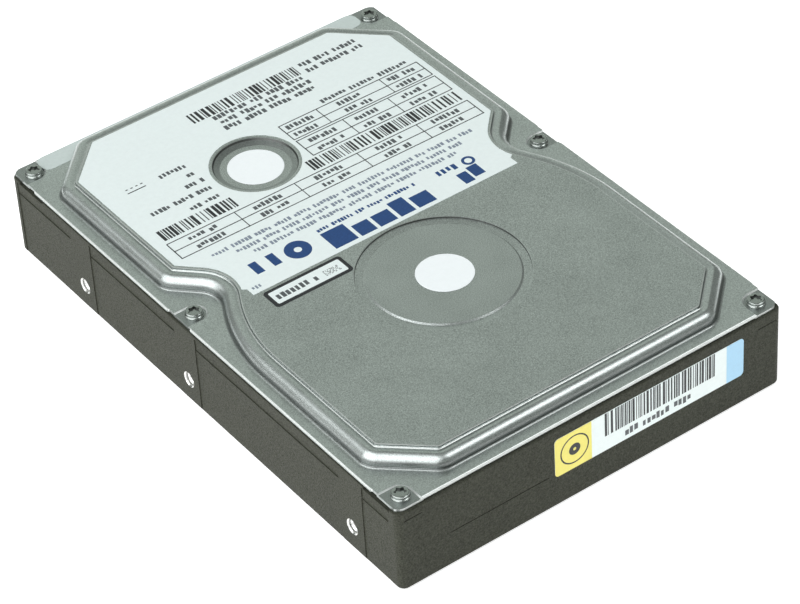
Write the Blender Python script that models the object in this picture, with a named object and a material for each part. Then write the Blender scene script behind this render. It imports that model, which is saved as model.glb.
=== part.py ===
"""A 3.5-inch hard disk drive, one inch high, as separate pieces.

Millimetres. X is the width, +Y the connector end, +Z the label side, and the origin is
the middle of the underside.
"""

import math

import bmesh
import bpy
from mathutils import Matrix

WIDTH = 101.6
LENGTH = 146.8
HALF_W = WIDTH / 2
HALF_L = LENGTH / 2
CORNER_R = 1.8
BASE_FRONT = 0.12 - HALF_L

BASE_TOP = 20.95
RECESS_CEILING = 6.0
CAVITY_FLOOR = 8.0
LEDGE_FLOOR = 12.5
FLANGE_BOTTOM = 21.3
FLANGE_TOP = 22.0
PAD_TOP = 21.65
PANEL_TOP = 25.3
SHEET = 0.7

SPINDLE = (0.0, -21.8)
PIVOT = (-9.0, 35.9)

DISC_ARC_R = 43.5
WAIST_CENTRE = (46.6, 5.4)
WAIST_R = 10.4
PANEL_FRONT = -65.3
PANEL_BACK = 66.8

COVER_SCREWS = [(s * 46.9, y) for s in (-1, 1) for y in (-69.2, 4.7, 69.4)]
SIDE_HOLES_Y = (45.0, 3.4, -56.6)
BOTTOM_HOLES_Y = (32.12, -12.33, -44.08)
BOTTOM_HOLE_X = 47.625
MOUNT_HOLE_R = 1.75

PLATTER_R = 47.5
PLATTER_Z = (11.0, 14.05, 17.1, 20.15)
PLATTER_T = 1.0
HUB_R = 12.5
STACK_STEPS = 48
ARM_Z = (9.475, 12.525, 15.575, 18.625, 21.675)
ARM_T = 1.0
ARM_REST = math.radians(-63.4)
COIL_REST = ARM_REST + math.pi
LATCH = (-3.6, 65.4)

BOARD_BOTTOM = 4.0
BOARD_TOP = 5.5
BOARD_SCREWS = ((-40.5, 28.0), (40.5, 28.0), (-40.5, -20.0), (40.5, -20.0))


def fresh_collection(name):
    for obj in list(bpy.data.objects):
        bpy.data.objects.remove(obj)
    made = bpy.data.collections.new(name)
    bpy.context.scene.collection.children.link(made)
    bpy.context.scene.unit_settings.scale_length = 0.001
    return made


DRIVE = fresh_collection("hard_disk_drive")
CUTTERS = bpy.data.collections.new("cutters")
bpy.context.scene.collection.children.link(CUTTERS)


def add(name, mesh):
    obj = bpy.data.objects.new(name, mesh)
    DRIVE.objects.link(obj)
    return obj


def from_bmesh(name, bm):
    bmesh.ops.recalc_face_normals(bm, faces=bm.faces)
    mesh = bpy.data.meshes.new(name)
    bm.to_mesh(mesh)
    bm.free()
    return add(name, mesh)


def as_cutter(obj):
    DRIVE.objects.unlink(obj)
    CUTTERS.objects.link(obj)
    obj.hide_render = True
    obj.display_type = "WIRE"
    return obj


def boolean(obj, other, operation="DIFFERENCE"):
    as_cutter(other)
    modifier = obj.modifiers.new(other.name, "BOOLEAN")
    modifier.object = other
    modifier.operation = operation
    modifier.solver = "EXACT"
    return obj


def joined(name, pieces):
    """One object from several separate closed shells, used as a cutter."""
    bm = bmesh.new()
    for piece in pieces:
        bm.from_mesh(piece.data)
        bpy.data.objects.remove(piece)
    return from_bmesh(name, bm)


def loft(name, loops):
    """A solid skinned through loops of equal length, listed from the bottom up, with flat ends."""
    bm = bmesh.new()
    rings = [[bm.verts.new(point) for point in loop] for loop in loops]
    count = len(rings[0])
    for low, high in zip(rings, rings[1:]):
        for i in range(count):
            j = (i + 1) % count
            bm.faces.new((low[i], low[j], high[j], high[i]))
    bm.faces.new(rings[0][::-1])
    bm.faces.new(rings[-1])
    return from_bmesh(name, bm)


def prism(name, outline, low, high):
    return loft(name, [[(x, y, z) for x, y in outline] for z in (low, high)])


def box(name, x, y, z):
    outline = [(x[0], y[0]), (x[1], y[0]), (x[1], y[1]), (x[0], y[1])]
    return prism(name, outline, z[0], z[1])


def turned(name, profile, centre, steps=48, axis="Z"):
    """A solid of revolution from (radius, height) points. Points on the axis are allowed at its ends."""
    bm = bmesh.new()
    verts = [bm.verts.new((r, 0.0, z)) for r, z in profile]
    edges = []
    for i, vert in enumerate(verts):
        after = verts[(i + 1) % len(verts)]
        if vert.co.x > 0 or after.co.x > 0:
            edges.append(bm.edges.new((vert, after)))
    bmesh.ops.spin(
        bm, geom=verts + edges, cent=(0, 0, 0), axis=(0, 0, 1), angle=2 * math.pi, steps=steps
    )
    bmesh.ops.remove_doubles(bm, verts=bm.verts, dist=0.0005)
    for vert in bm.verts:
        x, y, z = vert.co
        if axis == "X":
            vert.co = (centre[0] + z, centre[1] + x, centre[2] + y)
        elif axis == "Y":
            vert.co = (centre[0] + y, centre[1] + z, centre[2] + x)
        else:
            vert.co = (centre[0] + x, centre[1] + y, z)
    return from_bmesh(name, bm)


def disc(name, radius, centre, low, high, steps=32):
    return turned(name, [(0, low), (radius, low), (radius, high), (0, high)], centre, steps)


def ring(name, inner, outer, centre, low, high, steps=48):
    profile = [(inner, low), (outer, low), (outer, high), (inner, high)]
    return turned(name, profile, centre, steps)


def arc(centre, radius, start, end, steps):
    points = []
    for i in range(steps + 1):
        angle = math.radians(start + (end - start) * i / steps)
        points.append((centre[0] + radius * math.cos(angle), centre[1] + radius * math.sin(angle)))
    return points


def rounded_rect(x, y, radius, steps=4):
    points = arc((x[1] - radius, y[0] + radius), radius, -90, 0, steps)
    points += arc((x[1] - radius, y[1] - radius), radius, 0, 90, steps)
    points += arc((x[0] + radius, y[1] - radius), radius, 90, 180, steps)
    points += arc((x[0] + radius, y[0] + radius), radius, 180, 270, steps)
    return points


def rounded_corner(before, corner, after, radius, steps=3):
    """Points of the arc that rounds one corner of a path."""
    ax, ay = before[0] - corner[0], before[1] - corner[1]
    bx, by = after[0] - corner[0], after[1] - corner[1]
    la, lb = math.hypot(ax, ay), math.hypot(bx, by)
    ax, ay, bx, by = ax / la, ay / la, bx / lb, by / lb
    half = math.acos(max(-1.0, min(1.0, ax * bx + ay * by))) / 2
    reach = radius / math.tan(half)
    mx, my = ax + bx, ay + by
    lm = math.hypot(mx, my)
    cx = corner[0] + mx / lm * radius / math.sin(half)
    cy = corner[1] + my / lm * radius / math.sin(half)
    start = math.atan2(corner[1] + ay * reach - cy, corner[0] + ax * reach - cx)
    end = math.atan2(corner[1] + by * reach - cy, corner[0] + bx * reach - cx)
    turn = (end - start + math.pi) % (2 * math.pi) - math.pi
    return arc((cx, cy), radius, math.degrees(start), math.degrees(start + turn), steps)


def half_panel():
    """The raised panel's edge on the +X side: front corners, disk arc, waist and back corners."""
    front = [(0.0, PANEL_FRONT), (34.2, PANEL_FRONT), (DISC_ARC_R, -56.6), (DISC_ARC_R, -21.8)]
    back = [(38.0, 11.7), (DISC_ARC_R, 17.2), (DISC_ARC_R, 56.2), (32.9, PANEL_BACK), (0.0, PANEL_BACK)]
    touch = math.degrees(math.atan2(WAIST_CENTRE[1] - SPINDLE[1], WAIST_CENTRE[0] - SPINDLE[0]))
    points = []
    for i in (1, 2):
        points += rounded_corner(front[i - 1], front[i], front[i + 1], 0.8)
    points += arc(SPINDLE, DISC_ARC_R, 0, touch, 6)[:-1]
    points += arc(WAIST_CENTRE, WAIST_R, touch + 180, 135, 7)
    for i in (1, 2, 3):
        points += rounded_corner(back[i - 1], back[i], back[i + 1], 0.8)
    return points


def panel_loop():
    half = half_panel()
    return half + [(-x, y) for x, y in reversed(half)]


def outward(points):
    """The unit normal at each point of a counter-clockwise loop."""
    normals = []
    for i in range(len(points)):
        before, after = points[i - 1], points[(i + 1) % len(points)]
        here = points[i]
        total = [0.0, 0.0]
        for start, end in ((before, here), (here, after)):
            dx, dy = end[0] - start[0], end[1] - start[1]
            length = math.hypot(dx, dy)
            total[0] += dy / length
            total[1] -= dx / length
        scale = math.hypot(*total)
        normals.append((total[0] / scale, total[1] / scale))
    return normals


PANEL = panel_loop()
PANEL_NORMALS = outward(PANEL)


def panel_offset(distance, back_limit=None):
    points = []
    for (x, y), (nx, ny) in zip(PANEL, PANEL_NORMALS):
        px, py = x + nx * distance, y + ny * distance
        points.append((px, min(py, back_limit) if back_limit else py))
    return points


def panel_solid(name, section):
    """A solid through offsets of the panel's edge, from (offset, height) pairs listed bottom up."""
    loops = [[(x, y, height) for x, y in panel_offset(offset)] for offset, height in section]
    return loft(name, loops)


def about(centre, angle, points):
    """Points along and across a direction from a centre, turned into plan positions."""
    c, s = math.cos(angle), math.sin(angle)
    return [(centre[0] + u * c - v * s, centre[1] + u * s + v * c) for u, v in points]


def base_casting():
    base = loft(
        "base_casting",
        [
            [(x, y, 0.0) for x, y in rounded_rect((-50.2, 50.2), (-72.7, 72.8), CORNER_R - 0.6)],
            [(x, y, 0.6) for x, y in rounded_rect((-HALF_W, HALF_W), (BASE_FRONT, HALF_L), CORNER_R)],
            [(x, y, BASE_TOP) for x, y in rounded_rect((-HALF_W, HALF_W), (BASE_FRONT, HALF_L), CORNER_R)],
        ],
    )
    boolean(base, disc("disk_cavity", 48.3, SPINDLE, CAVITY_FLOOR, 30, 72))
    chamber = [(-38.5, 8), (38.5, 8), (44.3, 15.5), (44.3, 56.5), (38.0, 61.9), (-38.0, 61.9)]
    chamber += [(-44.3, 56.5), (-44.3, 15.5)]
    boolean(base, prism("actuator_chamber", chamber, CAVITY_FLOOR + 0.02, 30))
    ledge = [(-39.5, 59.0), (39.5, 59.0), (39.5, 62.0), (34.0, 68.5), (-34.0, 68.5), (-39.5, 62.0)]
    boolean(base, prism("rear_chamber", ledge, LEDGE_FLOOR, 30))
    board_bay = rounded_rect((-44.2, 44.2), (-66.0, 64.0), 3.0)
    boolean(base, prism("board_bay", board_bay, -1, RECESS_CEILING))
    boolean(base, box("connector_notch", (-48.0, 48.0), (63.2, 80), (-1, 10.9)))
    boolean(base, disc("motor_hole", 11.8, SPINDLE, -5, 30, 48))
    boolean(base, disc("pivot_hole", 2.7, PIVOT, 5, 30, 24))
    boolean(base, mounting_hole_cutter())
    boolean(base, side_panel_cutter())
    boolean(base, disc("latch_post", 0.9, LATCH, LEDGE_FLOOR - 0.5, 17.4, 16), "UNION")
    boolean(base, underside_ribs(), "UNION")
    return base


def mounting_hole_cutter():
    pieces = []
    for side in (-1, 1):
        for y in SIDE_HOLES_Y:
            hole = [(0, 0), (MOUNT_HOLE_R, 0), (MOUNT_HOLE_R, 10), (0, 10)]
            start = 45.6 if side > 0 else -55.6
            pieces.append(turned("side_hole", hole, (start, y, 6.35), 20, "X"))
        for y in BOTTOM_HOLES_Y:
            pieces.append(disc("bottom_hole", MOUNT_HOLE_R, (side * BOTTOM_HOLE_X, y), -1, 4.3, 20))
    for x, y in COVER_SCREWS:
        pieces.append(disc("cover_screw_hole", 1.2, (x, y), 14, 30, 12))
    for x, y in BOARD_SCREWS:
        pieces.append(disc("board_screw_hole", 1.15, (x, y), 5, 7.4, 12))
    return joined("mounting_holes", pieces)


def side_panel_cutter():
    """Shallow panels between the bosses of the side holes, and finger gaps under the cover's corners."""
    spans = ((-70.0, -60.8), (-53.0, -0.6), (7.2, 41.0), (48.8, 71.0))
    pieces = []
    for side in (-1, 1):
        near, far = (HALF_W - 0.25, HALF_W + 2)
        x = (near, far) if side > 0 else (-far, -near)
        for span in spans:
            pieces.append(box("side_panel", x, span, (-1, 17.3)))
        near = HALF_W - 1.6
        x = (near, far) if side > 0 else (-far, -near)
        for span in ((-70.4, -61.5), (60.0, 69.8)):
            pieces.append(box("corner_gap", x, span, (20.1, 25)))
    return joined("side_panels", pieces)


def underside_ribs():
    """Ribs that spread from the motor across the bare front of the casting, joined by a hub ring."""
    bm = bmesh.new()
    hub = ring("rib_hub", 13.0, 14.6, SPINDLE, 4.4, 6.5, 32)
    bm.from_mesh(hub.data)
    bpy.data.objects.remove(hub)
    for degrees, inner in ((-145, 25.0), (-120, 17.5), (-90, 17.5), (-60, 17.5), (-35, 25.0)):
        spoke = [(inner, -0.7), (41.0, -0.7), (41.0, 0.7), (inner, 0.7)]
        spoke = about(SPINDLE, math.radians(degrees), spoke)
        rib = prism("rib", spoke, 4.6, 6.5)
        bm.from_mesh(rib.data)
        bpy.data.objects.remove(rib)
    return from_bmesh("underside_rib_set", bm)


def gasket():
    def loop(offset, back):
        return [(x, y if y < 40 else min(y, back)) for x, y in panel_offset(offset)]

    outer = prism("cover_gasket", loop(6.4, 71.6), BASE_TOP + 0.02, FLANGE_BOTTOM - 0.02)
    return boolean(outer, prism("gasket_inside", loop(5.2, 70.0), 20, 23))


def cover():
    sheet = rounded_rect((-50.6, 50.6), (-72.6, 73.3), 2.4, 6)
    top = prism("top_cover", sheet, FLANGE_BOTTOM, FLANGE_TOP)
    outside = [(3.8, 21.5), (3.65, 24.2), (3.3, 24.8), (2.6, 25.05), (1.8, 24.95), (0.4, 24.65)]
    outside += [(0.1, PANEL_TOP)]
    boolean(top, panel_solid("cover_dome", outside), "UNION")
    inside = [(3.05, 20.8), (2.95, 23.8), (2.5, 24.3), (1.9, 24.25), (0.6, 23.95), (-0.4, PANEL_TOP - SHEET)]
    void = panel_solid("cover_void", inside)
    spindle_pad = [(0, 24.05), (17.9, 24.05), (19.4, 24.55), (19.4, 30), (0, 30)]
    boolean(void, turned("spindle_pad", spindle_pad, SPINDLE, 48))
    pivot_pad = [(0, 23.6), (8.0, 23.6), (11.2, 24.55), (11.2, 30), (0, 30)]
    boolean(void, turned("pivot_pad", pivot_pad, PIVOT, 40))
    boolean(top, void)
    spindle_well = [(0, 25.0), (16.9, 25.0), (17.3, 24.85), (19.2, 24.96), (19.2, 30), (0, 30)]
    boolean(top, turned("spindle_well", spindle_well, SPINDLE, 48))
    pivot_well = [(0, 24.3), (7.2, 24.3), (8.4, 24.6), (10.3, 25.2), (10.4, 25.4), (10.4, 30), (0, 30)]
    boolean(top, turned("pivot_well", pivot_well, PIVOT, 40))
    boolean(top, screw_pads())
    return boolean(top, screw_clearance())


def screw_pads():
    pieces = []
    for side in (-1, 1):
        near, far = sorted((side * 44.0, side * 56.0))
        for end, y in ((-1, (-80.0, -66.0)), (1, (66.6, 80.0))):
            outline = rounded_rect((near, far), y, 3.0)
            pieces.append(prism("corner_pad", outline, PAD_TOP, 30))
        pieces.append(disc("middle_pad", 2.9, (side * 46.9, 4.7), PAD_TOP, 23, 24))
    return joined("screw_pads", pieces)


def screw_clearance():
    holes = [disc("clearance_hole", 1.5, (x, y), 20, 23, 16) for x, y in COVER_SCREWS]
    return joined("clearance_holes", holes)


def lobed(centre, radius, depth, count):
    """The outline of a star socket with a given number of lobes."""
    points = []
    total = count * 2
    for i in range(total):
        angle = 2 * math.pi * i / total
        r = radius - depth * (0.5 - 0.5 * math.cos(count * angle))
        points.append((centre[0] + r * math.cos(angle), centre[1] + r * math.sin(angle)))
    return points


def cover_screw(name, centre):
    low = PAD_TOP + 0.01
    profile = [(0, 15.0), (0.75, 15.0), (1.0, 15.4), (1.0, low), (2.1, low), (2.1, low + 0.3)]
    profile += [(1.86, low + 0.5), (1.92, low + 0.7), (1.92, low + 1.3), (1.7, low + 1.5), (0, low + 1.5)]
    screw = turned(name, profile, centre, 20)
    return boolean(screw, prism(name + "_socket", lobed(centre, 1.35, 0.36, 6), low + 0.6, 25))


def small_screw(name, centre, seat, down):
    """A small board screw whose head is below its seat and whose shank goes up."""
    profile = [(0, seat - 1.1), (1.3, seat - 1.1), (1.9, seat - 0.7), (1.9, seat), (0.95, seat)]
    profile += [(0.95, seat + down), (0, seat + down)]
    screw = turned(name, profile, centre, 16)
    return boolean(screw, prism(name + "_socket", lobed(centre, 0.95, 0.22, 6), seat - 2, seat - 0.5))


def labels():
    edge = panel_offset(-0.4)
    outline = [(x, y) for x, y in edge if y > 1.0]
    outline += [(-35.7, 0.5), (-35.7, -2.0), (35.7, -2.0), (35.7, 0.5)]
    top = prism("top_label", outline, PANEL_TOP + 0.01, PANEL_TOP + 0.1)
    boolean(top, disc("label_hole", 10.5, PIVOT, 20, 30, 40))
    serial = rounded_rect((-34.2, -14.0), (-8.8, -2.8), 0.8, 3)
    prism("serial_label", serial, PANEL_TOP + 0.01, PANEL_TOP + 0.1)
    disc("spindle_seal", 6.45, (0.25, -22.0), 25.01, 25.11, 32)
    disc("pivot_seal", 6.45, PIVOT, 24.31, 24.41, 32)
    end = rounded_rect((-11.0, 40.0), (8.3, 18.5), 1.0, 3)
    loft("end_label", [[(x, y, z) for x, z in end] for y in (BASE_FRONT - 0.02, -HALF_L)])
    strip = rounded_rect((-43.8, 43.8), (67.9, 73.2), 2.0, 3)
    tape = prism("edge_tape", strip, FLANGE_TOP + 0.01, FLANGE_TOP + 0.08)
    boolean(tape, panel_solid("tape_edge", [(4.0, 20), (4.0, 30)]))


def spindle_pieces():
    shaft = [(0, 6.4), (2.5, 6.4), (2.5, 23.7), (2.2, 23.9), (0, 23.9)]
    turned("spindle_shaft", shaft, SPINDLE, 24)
    stator = [(2.6, 6.0), (11.7, 6.0), (11.7, 7.2), (10.2, 7.2), (10.2, 17.2), (4.0, 17.2)]
    stator += [(4.0, 8.0), (2.6, 8.0)]
    core = turned("motor_stator", stator, SPINDLE, 36)
    slots = []
    for i in range(9):
        slot = about(SPINDLE, 2 * math.pi * i / 9, [(6.0, -0.8), (10.9, -0.5), (10.9, 0.5), (6.0, 0.8)])
        slots.append(prism("stator_slot", slot, 8.6, 18))
    boolean(core, joined("stator_slots", slots))
    hub = [(2.9, 18.0), (11.0, 18.0), (11.0, 8.6), (16.0, 8.6), (16.0, 9.4), (15.4, 10.45)]
    hub += [(HUB_R, 10.45), (HUB_R, 22.2), (11.6, 22.9), (6.0, 22.9), (6.0, 23.2), (2.9, 23.2)]
    turned("spindle_hub", hub, SPINDLE, STACK_STEPS)
    for i, z in enumerate(PLATTER_Z):
        low, high = z - PLATTER_T / 2, z + PLATTER_T / 2
        profile = [(HUB_R + 0.02, low), (PLATTER_R, low), (PLATTER_R, high), (HUB_R + 0.02, high)]
        turned(f"platter_{i + 1}", profile, SPINDLE, STACK_STEPS)
    for i in range(3):
        low = PLATTER_Z[i] + PLATTER_T / 2 + 0.01
        high = PLATTER_Z[i + 1] - PLATTER_T / 2 - 0.01
        ring(f"disk_spacer_{i + 1}", HUB_R + 0.02, 16.0, SPINDLE, low, high, STACK_STEPS)
    clamp_low = PLATTER_Z[3] + PLATTER_T / 2 + 0.01
    clamp = [(HUB_R + 0.05, clamp_low), (16.0, clamp_low), (16.0, 21.4), (15.0, 22.3), (HUB_R + 0.05, 22.3)]
    body = turned("disk_clamp", clamp, SPINDLE, STACK_STEPS)
    notches = []
    for i in range(6):
        x, y = about(SPINDLE, math.radians(60 * i), [(14.3, 0)])[0]
        notches.append(disc("clamp_dimple", 0.8, (x, y), 21.7, 24, 12))
    boolean(body, joined("clamp_dimples", notches))


def sector(centre, inner, outer, start, end, steps):
    return arc(centre, outer, start, end, steps) + arc(centre, inner, end, start, steps)


def magnet_pieces():
    """Two steel plates on one post, each with an arc magnet, above and below the voice coil."""
    rest = math.degrees(COIL_REST)
    start, end = rest - 11.5, rest + 50.0
    plate = sector(PIVOT, 12.6, 25.4, start, end, 8)
    foot = sector(PIVOT, 25.0, 27.6, rest + 12, rest + 44, 6)
    post = sector(PIVOT, 26.2, 27.6, rest + 12, rest + 44, 6)
    lower = prism("magnet_plate_lower", plate, 8.05, 10.2)
    boolean(lower, prism("lower_foot", foot, 8.06, 10.0), "UNION")
    boolean(lower, prism("magnet_post", post, 8.1, 20.28), "UNION")
    upper = prism("magnet_plate_upper", plate, 20.3, 22.3)
    boolean(upper, prism("upper_foot", foot, 20.31, 22.2), "UNION")
    magnet = sector(PIVOT, 13.4, 24.4, start + 7, end - 7, 8)
    prism("magnet_lower", magnet, 10.22, 13.2)
    prism("magnet_upper", magnet, 17.9, 20.28)


def arm_outline(angle):
    body = [(5.0, -7.6), (20.0, -6.4), (35.5, -3.4), (38.4, -2.2), (39.4, 0.0), (38.4, 2.2), (35.5, 3.4)]
    body += [(20.0, 6.4), (5.0, 7.6)]
    return about(PIVOT, angle, body)


def actuator_pieces():
    turned("pivot_shaft", [(0, 6.4), (2.5, 6.4), (2.5, 22.9), (0, 22.9)], PIVOT, 24)
    hub = [(4.9, ARM_Z[0] - 0.5), (8.6, ARM_Z[0] - 0.5), (8.6, ARM_Z[4] + 0.5), (4.9, ARM_Z[4] + 0.5)]
    block = turned("arm_block", hub, PIVOT, 32)
    for i, z in enumerate(ARM_Z):
        plate = prism(f"arm_{i + 1}", arm_outline(ARM_REST), z - ARM_T / 2, z + ARM_T / 2)
        holes = [disc("swage_hole", 1.55, about(PIVOT, ARM_REST, [(36.2, 0)])[0], 0, 30, 14)]
        window = about(PIVOT, ARM_REST, [(13.5, -3.2), (28.5, -1.7), (28.5, 1.7), (13.5, 3.2)])
        holes.append(prism("arm_window", window, 0, 30))
        boolean(plate, joined(f"arm_{i + 1}_holes", holes))
        boolean(block, plate, "UNION")
    fork = [(6.5, -5.0), (13.2, -5.0), (24.2, -8.5), (24.2, -7.7), (13.6, -3.8)]
    fork += [(u, -v) for u, v in reversed(fork)]
    fork = about(PIVOT, COIL_REST, fork)
    boolean(block, prism("coil_fork", fork, 14.3, 16.8), "UNION")
    boolean(block, disc("pivot_bore", 4.9, PIVOT, 0, 30, 32))
    bearing = [(2.55, 9.2), (4.85, 9.2), (4.85, 22.0), (2.55, 22.0)]
    turned("pivot_bearing", bearing, PIVOT, 32)
    outer = about(PIVOT, COIL_REST, [(14.0, -3.4), (24.2, -7.1), (24.2, 7.1), (14.0, 3.4)])
    inner = about(PIVOT, COIL_REST, [(16.4, -1.4), (21.9, -3.4), (21.9, 3.4), (16.4, 1.4)])
    coil = prism("voice_coil", outer, 14.2, 16.9)
    boolean(coil, prism("coil_window", inner, 10, 20))
    for i, z in enumerate(ARM_Z):
        suspension(i, z)


def suspension(index, z):
    """The sprung head arms swaged into one arm: one faces up, one down, or both."""
    blade = about(PIVOT, ARM_REST, [(34.2, -2.0), (38.0, -2.2), (49.2, -0.7), (51.0, -0.5), (51.0, 0.5)])
    blade += about(PIVOT, ARM_REST, [(49.2, 0.7), (38.0, 2.2), (34.2, 2.0)])
    centre = about(PIVOT, ARM_REST, [(36.2, 0)])[0]
    pad = about(PIVOT, ARM_REST, [(49.0, -0.6), (50.6, -0.6), (50.6, 0.6), (49.0, 0.6)])
    body = disc(f"head_suspension_{index + 1}", 1.5, centre, z - 0.62, z + 0.62, 14)
    if index < 4:
        low = z + ARM_T / 2 + 0.03
        boolean(body, prism(f"blade_up_{index + 1}", blade, low, low + 0.18), "UNION")
        boolean(body, prism(f"head_up_{index + 1}", pad, low + 0.1, low + 0.42), "UNION")
    if index > 0:
        high = z - ARM_T / 2 - 0.03
        boolean(body, prism(f"blade_down_{index + 1}", blade, high - 0.18, high), "UNION")
        boolean(body, prism(f"head_down_{index + 1}", pad, high - 0.42, high - 0.1), "UNION")


def chamber_pieces():
    stop = about(PIVOT, COIL_REST, [(21.0, -10.2)])[0]
    turned("crash_stop", [(0, 8.05), (1.6, 8.05), (1.6, 17.2), (1.2, 17.6), (0, 17.6)], stop, 16)
    prism("recirculation_filter", [(36.4, 24.6), (39.0, 23.4), (43.2, 33.0), (40.6, 34.2)], 8.05, 19.6)
    bracket = prism("flex_bracket", rounded_rect((12.0, 25.0), (45.0, 59.0), 1.5, 2), 8.05, 11.0)
    tower = prism("flex_tower", rounded_rect((12.0, 14.6), (46.0, 57.0), 0.8, 2), 10.0, 19.8)
    boolean(bracket, tower, "UNION")
    ribbon()
    lever = arc(LATCH, 2.4, -140, 150, 12) + [(-8.8, 65.4), (-11.6, 63.5), (-11.0, 62.6), (-8.0, 63.2)]
    latch = prism("actuator_latch", lever, 14.0, 16.6)
    boolean(latch, disc("latch_bore", 0.98, LATCH, 10, 20, 16))


def ribbon():
    """The flat flexible circuit: a loop standing on edge from the bracket to the arm block's hub.

    It meets the hub where neither the arms nor the coil fork sweep as the actuator turns.
    """
    points = []
    start, end = (11.7, 50.0), about(PIVOT, math.radians(50), [(8.8, 0)])[0]
    for i in range(13):
        t = i / 12
        x = start[0] + (end[0] - start[0]) * t
        y = start[1] + (end[1] - start[1]) * t
        points.append((x, y + 3.4 * math.sin(math.pi * t)))
    sides = outward_open(points, 0.09)
    return prism("flex_cable", sides, 12.0, 19.0)


def outward_open(points, half):
    """A thin closed outline along an open path."""
    left, right = [], []
    for i, (x, y) in enumerate(points):
        before, after = points[max(0, i - 1)], points[min(len(points) - 1, i + 1)]
        dx, dy = after[0] - before[0], after[1] - before[1]
        length = math.hypot(dx, dy)
        left.append((x - dy / length * half, y + dx / length * half))
        right.append((x + dy / length * half, y - dx / length * half))
    return right + left[::-1]


def controller_board():
    outline = [(-43.6, -34.0), (43.6, -34.0), (43.6, 61.0), (42.0, 62.6), (-42.0, 62.6), (-43.6, 61.0)]
    board = prism("controller_board", outline, BOARD_BOTTOM, BOARD_TOP)
    boolean(board, disc("board_motor_hole", 15.4, SPINDLE, 0, 9, 40))
    holes = [disc("board_hole", 1.3, centre, 0, 9, 14) for centre in BOARD_SCREWS]
    boolean(board, joined("board_holes", holes))
    sheet = box("insulator_sheet", (-42.0, 42.0), (2.0, 60.0), (BOARD_TOP + 0.05, 5.9))
    holes = [disc("sheet_hole", 2.0, centre, 0, 9, 14) for centre in BOARD_SCREWS[:2]]
    boolean(sheet, joined("sheet_holes", holes))
    for i, centre in enumerate(BOARD_SCREWS):
        small_screw(f"board_screw_{i + 1}", centre, BOARD_BOTTOM - 0.01, 3.0)
    chips()


def chips():
    top = BOARD_BOTTOM - 0.02
    for name, x, y, size, height in (
        ("controller_chip", 14.0, 22.0, 20.0, 1.6),
        ("channel_chip", -16.0, 30.0, 14.0, 1.4),
        ("motor_driver_chip", -18.0, 6.0, 12.0, 1.6),
    ):
        half = size / 2
        low = rounded_rect((x - half + 0.5, x + half - 0.5), (y - half + 0.5, y + half - 0.5), 0.4, 1)
        mid = rounded_rect((x - half, x + half), (y - half, y + half), 0.4, 1)
        loops = [(low, top - height), (mid, top - height * 0.5), (low, top)]
        loft(name, [[(a, b, z) for a, b in loop] for loop, z in loops])


def studded(name, xs, zs, cells, back, front, tip):
    """A plate in the XZ plane with square pins: (column, row) cells of its grid run out to the tip."""
    bm = bmesh.new()
    grid = {}
    for i, x in enumerate(xs):
        for k, z in enumerate(zs):
            grid[i, k] = bm.verts.new((x, front, z))
    faces = {}
    for i in range(len(xs) - 1):
        for k in range(len(zs) - 1):
            corners = (grid[i, k], grid[i + 1, k], grid[i + 1, k + 1], grid[i, k + 1])
            faces[i, k] = bm.faces.new(corners)
    pins = [faces[cell] for cell in cells]
    moved = bmesh.ops.extrude_face_region(bm, geom=pins)
    for vert in [item for item in moved["geom"] if isinstance(item, bmesh.types.BMVert)]:
        vert.co.y = tip
    bmesh.ops.delete(bm, geom=pins, context="FACES_ONLY")
    last_x, last_z = len(xs) - 1, len(zs) - 1
    rim = [(i, 0) for i in range(last_x)] + [(last_x, k) for k in range(last_z)]
    rim += [(i, last_z) for i in range(last_x, 0, -1)] + [(0, k) for k in range(last_z, 0, -1)]
    front_rim = [grid[key] for key in rim]
    back_rim = [bm.verts.new((v.co.x, back, v.co.z)) for v in front_rim]
    for i in range(len(rim)):
        j = (i + 1) % len(rim)
        bm.faces.new((front_rim[i], front_rim[j], back_rim[j], back_rim[i]))
    bm.faces.new(back_rim)
    return from_bmesh(name, bm)


def pin_lines(first, count, pitch, half, margin):
    lines = [first - margin]
    for i in range(count):
        lines += [first + i * pitch - half, first + i * pitch + half]
    lines.append(first + (count - 1) * pitch + margin)
    return lines


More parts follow.
